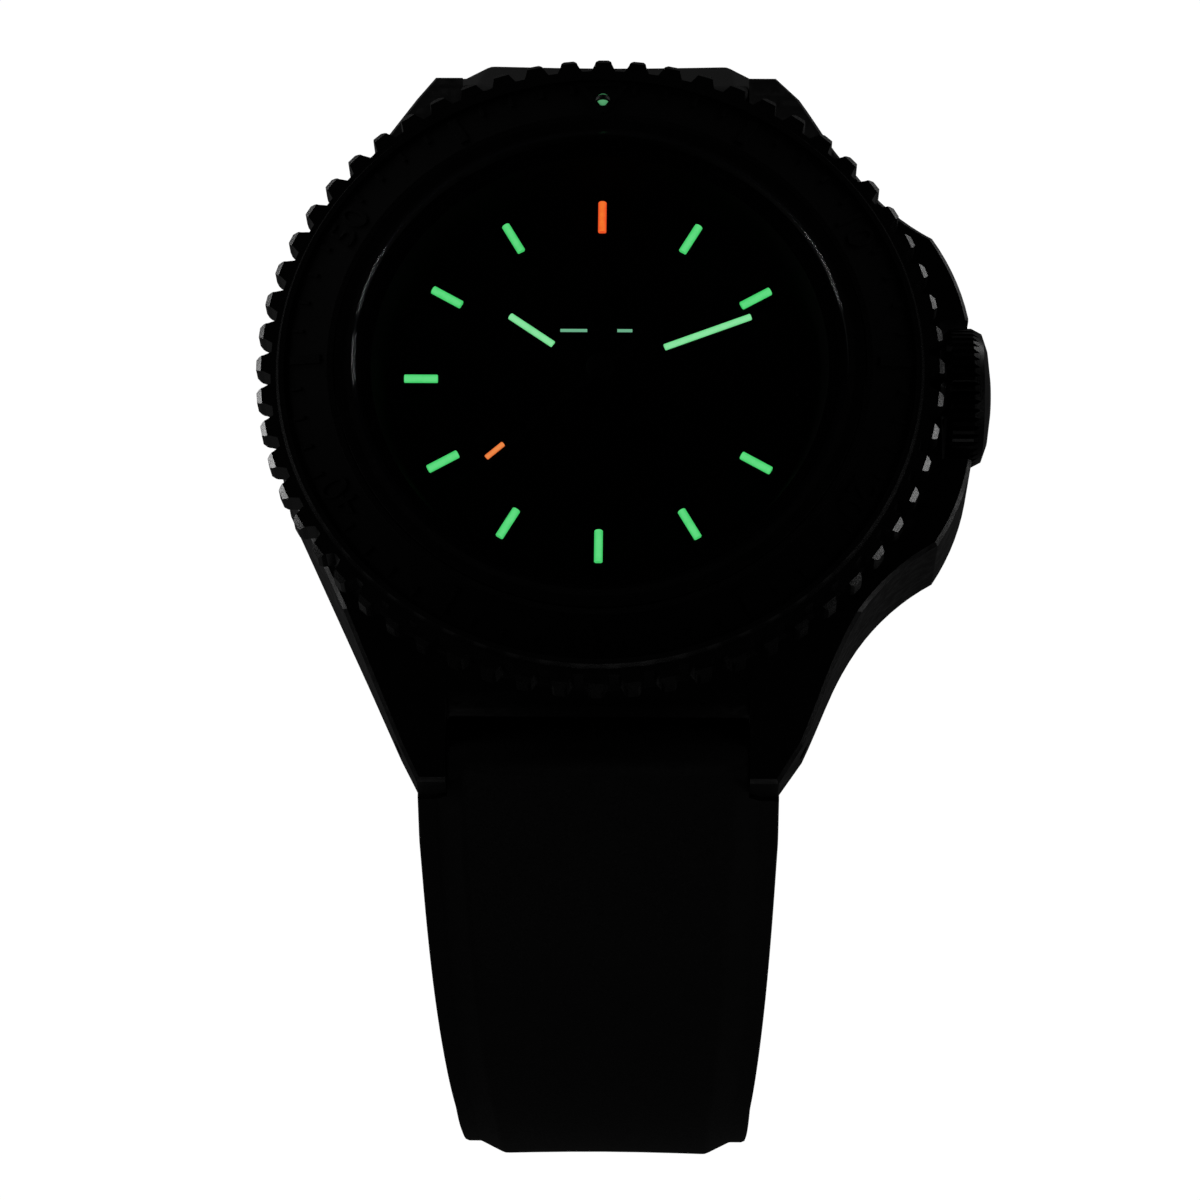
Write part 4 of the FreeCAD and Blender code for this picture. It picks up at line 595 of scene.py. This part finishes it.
def strap_six():
    """Long half: lugs, round the bottom and over the short half to the rounded tail."""
    tip = TAIL - TAIL_ROUND
    marks = spread(TAIL, tip, TAIL_STEP) + spread(tip, -LOOP.length, MARK_STEP)[1:]
    six = strap_skin("strap_six", marks, True, tail_lift)
    cutters = [slot_cutter("tongue_slot", *TONGUE_SLOT, HOLE_HALF)]
    for middle in HOLE_MIDDLES:
        cutters.append(slot_cutter("hole", middle - HOLE_REACH, middle + HOLE_REACH, HOLE_HALF))
    six = carve(six, cutters + lug_cutters(-1), "strap_six")
    head = cylinder_mesh("head", (-BAR[1], BAR[2]), HEAD, -HEAD_HALF, HEAD_HALF)
    mesh = joined("strap_six_detail", [six, head])
    six = new_piece("strap_six", mesh, "strap_rubber", "watch")
    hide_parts("strap_six_half")


def keeper_piece(name, node, body, distance):
    """Rubber band with rounded corners and softened edges."""
    clear, wall, half_length, corner = 0.25, 1.2, 2.5, 1.6
    half = NARROW + clear + wall
    low = -THIN - clear - wall
    high = THIN + LAYER_GAP + clear + wall
    centres = [(half - corner, high - corner, 0), (-half + corner, high - corner, 90),
               (-half + corner, low + corner, 180), (half - corner, low + corner, 270)]
    path = []
    for x, v, first in centres:
        for k in range(9):
            angle = math.radians(first + 90 * k / 8)
            path.append((x, v, math.cos(angle), math.sin(angle)))
    soft = 0.35
    band = [(-half_length, -soft), (-half_length, -wall + soft), (-half_length + soft, -wall),
            (half_length - soft, -wall), (half_length, -wall + soft), (half_length, -soft),
            (half_length - 0.12, -0.12), (half_length - soft - 0.2, 0.0), (0.9, -0.05),
            (0.6, -0.22), (-0.6, -0.22), (-0.9, -0.05), (-half_length + soft + 0.2, 0.0),
            (-half_length + 0.12, -0.12)]
    rings = []
    for x, v, nx, nv in path:
        ring = []
        for along, out in band:
            ring.append(LOOP.point(distance + along, x + corner * nx + out * nx,
                                   v + corner * nv + out * nv))
        rings.append(ring)
    mesh = ring_mesh(name, rings, closed=True)
    item = new_piece(name, mesh, "strap_rubber", body)
    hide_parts(node)


# ---- printed and raised marks ------------------------------------------------

INSERT_WIDTH = 2.9
INSERT_FALL = 0.5
MARK_SUNK = 0.00003
MARK_PROUD = 0.00005
# Bezel marks as (inner radius, outer radius, half width), in millimetres.
FIVE_MARK = (18.6, 20.6, 0.32)
MINUTE_MARK = (19.9, 20.6, 0.12)
TRIANGLE_BASE = 20.7
TRIANGLE_TIP = 18.35
TRIANGLE_HALF_ANGLE = 4.2
TRIANGLE_LINE = 0.16
NUMERAL_CIRCLE = 19.55
NUMERAL_HEIGHT = 2.7
# Minute track on the dial.
TRACK_OUTER = 14.1
TRACK_MINUTE = (13.45, 0.05)
TRACK_FIVE = (13.35, 0.11)
DATE_DAYS = 31
DATE_SHOWN = 17
DATE_CIRCLE = 12.0
DATE_HEIGHT = 1.75

def patch(points, bottom, top):
    """Small upright block over a flat outline, points in metres."""
    return [[(x, y, bottom(x, y)) for x, y in points], [(x, y, top(x, y)) for x, y in points]]


def marks_mesh(name, outlines, bottom, top):
    meshes = []
    for n, points in enumerate(outlines):
        meshes.append(ring_mesh(name + str(n), patch(points, bottom, top)))
    return joined(name, meshes)


def polar(radius, degrees):
    angle = math.radians(degrees)
    return radius * math.cos(angle), radius * math.sin(angle)


def bar_outline(degrees, inner, outer, half):
    """Radial bar seen from above, in metres."""
    c, s = math.cos(math.radians(degrees)), math.sin(math.radians(degrees))
    corners = ((inner, -half), (outer, -half), (outer, half), (inner, half))
    return [((r * c - w * s) * MM, (r * s + w * c) * MM) for r, w in corners]


def text_mesh(text, height):
    """Generic numerals as a flat filled mesh, centred on its own middle."""
    curve = bpy.data.curves.new("numeral", "FONT")
    curve.body = text
    curve.size = height
    curve.align_x = "CENTER"
    curve.align_y = "CENTER"
    curve.resolution_u = 6
    curve.extrude = 0.5
    item = bpy.data.objects.new("numeral", curve)
    bpy.context.scene.collection.objects.link(item)
    mesh = applied(item)
    bpy.data.objects.remove(item)
    return mesh


def numerals(name, entries, height, surface, lift, boldness=1.0):
    """Raised numerals: entries are (text, radius, degrees, turn) in millimetres."""
    meshes = []
    for text, radius, degrees, turn in entries:
        mesh = text_mesh(text, height)
        x, y = polar(radius, degrees)
        spin = Matrix.Rotation(math.radians(turn), 4, "Z")
        for vertex in mesh.vertices:
            co = spin @ Vector((vertex.co.x * boldness, vertex.co.y, 0))
            px, py = (x + co.x) * MM, (y + co.y) * MM
            base = surface(px, py)
            vertex.co = (px, py, base + (lift if vertex.co.z > 0 else -0.00002))
        meshes.append(mesh)
    return joined(name, meshes)


def insert_surface():
    """Height of the insert's sloping face over a point, in metres."""
    outer, _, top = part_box("bezel_insert")[1]
    inner = outer - INSERT_WIDTH * MM

    def height(x, y):
        share = (math.hypot(x, y) - inner) / (outer - inner)
        return top - INSERT_FALL * MM * share

    return height


def bezel_relief(name, outlines, height):
    """Low relief on the insert over flat outlines."""
    mesh = marks_mesh(name, outlines, lambda x, y: height(x, y) - MARK_SUNK,
                      lambda x, y: height(x, y) + MARK_PROUD)
    new_piece(name, mesh, "print_relief", "bezel")


def line_outline(start, end, half):
    """Flat strip between two points in millimetres, returned in metres."""
    dx, dy = end[0] - start[0], end[1] - start[1]
    length = math.hypot(dx, dy)
    nx, ny = -dy / length * half, dx / length * half
    corners = ((start[0] - nx, start[1] - ny), (end[0] - nx, end[1] - ny),
               (end[0] + nx, end[1] + ny), (start[0] + nx, start[1] + ny))
    return [(x * MM, y * MM) for x, y in corners]


def bezel_marks():
    height = insert_surface()
    outlines = []
    for minute in range(60):
        if minute % 10:
            mark = MINUTE_MARK if minute % 5 else FIVE_MARK
            outlines.append(bar_outline(90 - 6 * minute, *mark))
    bezel_relief("bezel_minute_marks", outlines, height)
    entries = [(str(m), NUMERAL_CIRCLE, 90 - 6 * m, -6 * m) for m in range(10, 60, 10)]
    mesh = numerals("bezel_numerals", entries, NUMERAL_HEIGHT, height, MARK_PROUD, 1.1)
    new_piece("bezel_numerals", mesh, "print_relief", "bezel")
    corners = [polar(TRIANGLE_BASE, 90 + TRIANGLE_HALF_ANGLE),
               polar(TRIANGLE_BASE, 90 - TRIANGLE_HALF_ANGLE), polar(TRIANGLE_TIP, 90)]
    sides = zip(corners, corners[1:] + corners[:1])
    bezel_relief("bezel_triangle", [line_outline(a, b, TRIANGLE_LINE) for a, b in sides], height)


def dial_marks():
    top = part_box("dial")[1][2]
    outlines = []
    for minute in range(60):
        inner, half = TRACK_MINUTE if minute % 5 else TRACK_FIVE
        outlines.append(bar_outline(90 - 6 * minute, inner, TRACK_OUTER, half))
    mesh = marks_mesh("dial_minute_track", outlines, lambda x, y: top - 0.00001,
                      lambda x, y: top + 0.00002)
    new_piece("dial_minute_track", mesh, "print_grey", "watch")


def date_numbers():
    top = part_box("date_disc")[1][2]
    entries = []
    for day in range(1, DATE_DAYS + 1):
        turn = (day - DATE_SHOWN) * 360 / DATE_DAYS
        entries.append((str(day), DATE_CIRCLE, turn, turn))
    mesh = numerals("date_numerals", entries, DATE_HEIGHT, lambda x, y: top, 0.00002, 0.85)
    new_piece("date_numerals", mesh, "print_grey", "date")


def dome_mesh(name, centre, radius, rise, first, last, steps=24):
    """Low dome or a sector of one, closed underneath; sizes in millimetres."""
    vertices = [(centre[0] * MM, centre[1] * MM, (centre[2] + rise) * MM)]
    tiers = 8
    for tier in range(1, tiers + 1):
        slope = math.radians(90 * tier / tiers)
        for k in range(steps + 1):
            angle = math.radians(first + (last - first) * k / steps)
            reach = radius * math.sin(slope)
            vertices.append(((centre[0] + reach * math.cos(angle)) * MM,
                             (centre[1] + reach * math.sin(angle)) * MM,
                             (centre[2] + rise * math.cos(slope)) * MM))
    row = steps + 1
    faces = [(0, 1 + k, 2 + k) for k in range(steps)]
    for tier in range(tiers - 1):
        base = 1 + tier * row
        for k in range(steps):
            faces.append((base + k, base + row + k, base + row + k + 1, base + k + 1))
    rim = 1 + (tiers - 1) * row
    vertices.append((centre[0] * MM, centre[1] * MM, centre[2] * MM))
    foot = len(vertices) - 1
    faces += [(foot, rim + k + 1, rim + k) for k in range(steps)]
    if last - first < 360:
        for k in (0, steps):
            edge = [0] + [1 + tier * row + k for tier in range(tiers)] + [foot]
            faces.append(tuple(edge if k else reversed(edge)))
    mesh = bpy.data.meshes.new(name)
    mesh.from_pydata(vertices, [], faces)
    bm = bmesh.new()
    bm.from_mesh(mesh)
    bmesh.ops.remove_doubles(bm, verts=bm.verts, dist=0.0000005)
    bm.to_mesh(mesh)
    bm.free()
    tidy_mesh(mesh)
    return mesh


HOOD_MARGIN = 0.1
HOOD_SHIFT = 0.18
HOOD_SUNK = 0.35
HOOD_RISE = 0.47
CAP_RADIUS = 0.95
CAP_RISE = 0.3


def small_covers():
    """Hood over the outer half of the pearl and a cap over the hands' centre."""
    low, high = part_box("bezel_pearl")
    centre = [(a + b) / 2 / MM for a, b in zip(low, high)]
    radius = (high[0] - low[0]) / 2 / MM + HOOD_MARGIN
    centre[1] -= HOOD_SHIFT
    centre[2] = high[2] / MM - HOOD_SUNK
    hood = dome_mesh("pearl_hood", centre, radius, HOOD_RISE, 0, 180)
    new_piece("pearl_hood", hood, "insert_black", "bezel")
    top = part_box("second_wheel")[1][2] / MM
    cap = dome_mesh("hand_cap", (0.0, 0.0, top + 0.01), CAP_RADIUS, CAP_RISE, 0, 360, 40)
    new_piece("hand_cap", cap, "hand_black", "seconds")


# ---- softened CAD edges -----------------------------------------------------

# Width of the worn edge on hard pieces, in metres.
SOFT_EDGES = {
    "case_middle": 0.00012, "buckle_frame": 0.0002, "buckle_tongue": 0.00015,
    "bezel_ring": 0.00008, "crown": 0.00005, "case_back": 0.00008,
}


SOFT_FROM = math.radians(28)


def soften():
    for name, width in SOFT_EDGES.items():
        modifier = frame["nodes"][name].modifiers.new("edge_wear", "BEVEL")
        modifier.width = width
        modifier.segments = 2
        modifier.limit_method = "ANGLE"
        modifier.angle_limit = SOFT_FROM
        modifier.harden_normals = True


# ---- stage -----------------------------------------------------------------

FLOOR_REACH = 4.0
FLOOR_LIGHT = 0.02
WORLD_LIGHT = 0.008


def white_to_camera(nodes, links, shade):
    """Strength that is full where the camera looks straight at it, low as a light source."""
    path = nodes.new("ShaderNodeLightPath")
    mix = nodes.new("ShaderNodeMix")
    mix.inputs["A"].default_value = shade
    mix.inputs["B"].default_value = 1.0
    links.new(path.outputs["Is Camera Ray"], mix.inputs["Factor"])
    return mix.outputs["Result"]


def floor():
    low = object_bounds()[0][2]
    mesh = bpy.data.meshes.new("floor")
    corners = ((-1, -1), (1, -1), (1, 1), (-1, 1))
    mesh.from_pydata([(x * FLOOR_REACH, y * FLOOR_REACH, low) for x, y in corners], [],
                     [(0, 1, 2, 3)])
    item = bpy.data.objects.new("floor", mesh)
    bpy.context.scene.collection.objects.link(item)
    material, nodes, links, shader = new_material("floor_paper")
    cloud = noise(nodes, links, 40.0, 4.0)
    links.new(ramp(nodes, links, cloud, [(0.3, 0.10), (0.7, 0.12)]), shader.inputs["Base Color"])
    shader.inputs["Roughness"].default_value = 0.95
    shader.inputs["Specular IOR Level"].default_value = 0.0
    shader.inputs["Emission Color"].default_value = (1.0, 1.0, 1.0, 1.0)
    links.new(white_to_camera(nodes, links, FLOOR_LIGHT), shader.inputs["Emission Strength"])
    mesh.materials.append(material)
    item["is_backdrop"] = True


def area_light(name, place, target, size, power):
    data = bpy.data.lights.new(name, "AREA")
    data.shape = "RECTANGLE"
    data.size, data.size_y = size
    data.energy = power
    item = bpy.data.objects.new(name, data)
    bpy.context.scene.collection.objects.link(item)
    item.location = place
    aim = Vector(target) - Vector(place)
    item.rotation_euler = aim.to_track_quat("-Z", "Y").to_euler()


def world():
    space = bpy.data.worlds.new("studio")
    bpy.context.scene.world = space
    space.use_nodes = True
    nodes, links = space.node_tree.nodes, space.node_tree.links
    links.new(white_to_camera(nodes, links, WORLD_LIGHT), nodes["Background"].inputs["Strength"])
    nodes["Background"].inputs["Color"].default_value = (1.0, 1.0, 1.0, 1.0)


# Camera: azimuth, elevation and roll in degrees, then metres back, right and up.
VIEW_ANGLES = (2.71949, 69.01898, -2.24004)
VIEW_OFFSET = (0.29, -0.0000285, -0.01476237)
VIEW_LENS = 129.955


def camera():
    """Long lens, about 69 degrees up and a little to the right of six o'clock."""
    azimuth, elevation, roll = (math.radians(angle) for angle in VIEW_ANGLES)
    back = Vector((math.sin(azimuth) * math.cos(elevation),
                   -math.cos(azimuth) * math.cos(elevation), math.sin(elevation)))
    level = Vector((math.cos(azimuth), math.sin(azimuth), 0))
    upright = back.cross(level)
    right = level * math.cos(roll) + upright * math.sin(roll)
    up = upright * math.cos(roll) - level * math.sin(roll)
    low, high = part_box("hour_tubes")
    target = Vector((0, 0, (low[2] + high[2]) / 2))
    data = bpy.data.cameras.new("camera")
    data.sensor_width = 36.0
    data.lens = VIEW_LENS
    data.clip_start = 0.01
    data.clip_end = 20.0
    item = bpy.data.objects.new("camera", data)
    bpy.context.scene.collection.objects.link(item)
    place = target + back * VIEW_OFFSET[0] + right * VIEW_OFFSET[1] + up * VIEW_OFFSET[2]
    item.matrix_world = Matrix((
        (right.x, up.x, back.x, place.x), (right.y, up.y, back.y, place.y),
        (right.z, up.z, back.z, place.z), (0, 0, 0, 1)))
    bpy.context.scene.camera = item


# Low lights round the watch, so that only edges catch them: place, aim, size and watts.
LIGHTS = {
    "left_light": ((-0.5, 0.10, 0.03), (0, 0, 0), (0.3, 0.08), 0.9),
    "right_light": ((0.5, -0.02, 0.03), (0, 0, 0), (0.3, 0.08), 0.45),
    "front_light": ((0.05, -0.6, -0.03), (0, 0, -0.03), (0.3, 0.08), 0.10),
    "rear_left_light": ((-0.42, 0.45, -0.02), (0, 0, -0.03), (0.3, 0.08), 0.6),
    "rear_right_light": ((0.42, 0.45, -0.02), (0, 0, -0.03), (0.3, 0.08), 0.6),
}


def studio():
    floor()
    world()
    for name, (place, target, size, power) in LIGHTS.items():
        area_light(name, place, target, size, power)
    camera()
    bpy.context.scene.view_settings.view_transform = "Standard"


dress_frame()
soften()
strap_twelve()
strap_six()
keeper_piece("keeper_fixed", "fixed_keeper", "watch", KEEPER_FIXED_AT)
keeper_piece("keeper_free", "free_keeper", "keeper", KEEPER_FREE_AT)
bezel_marks()
dial_marks()
date_numbers()
small_covers()
studio()
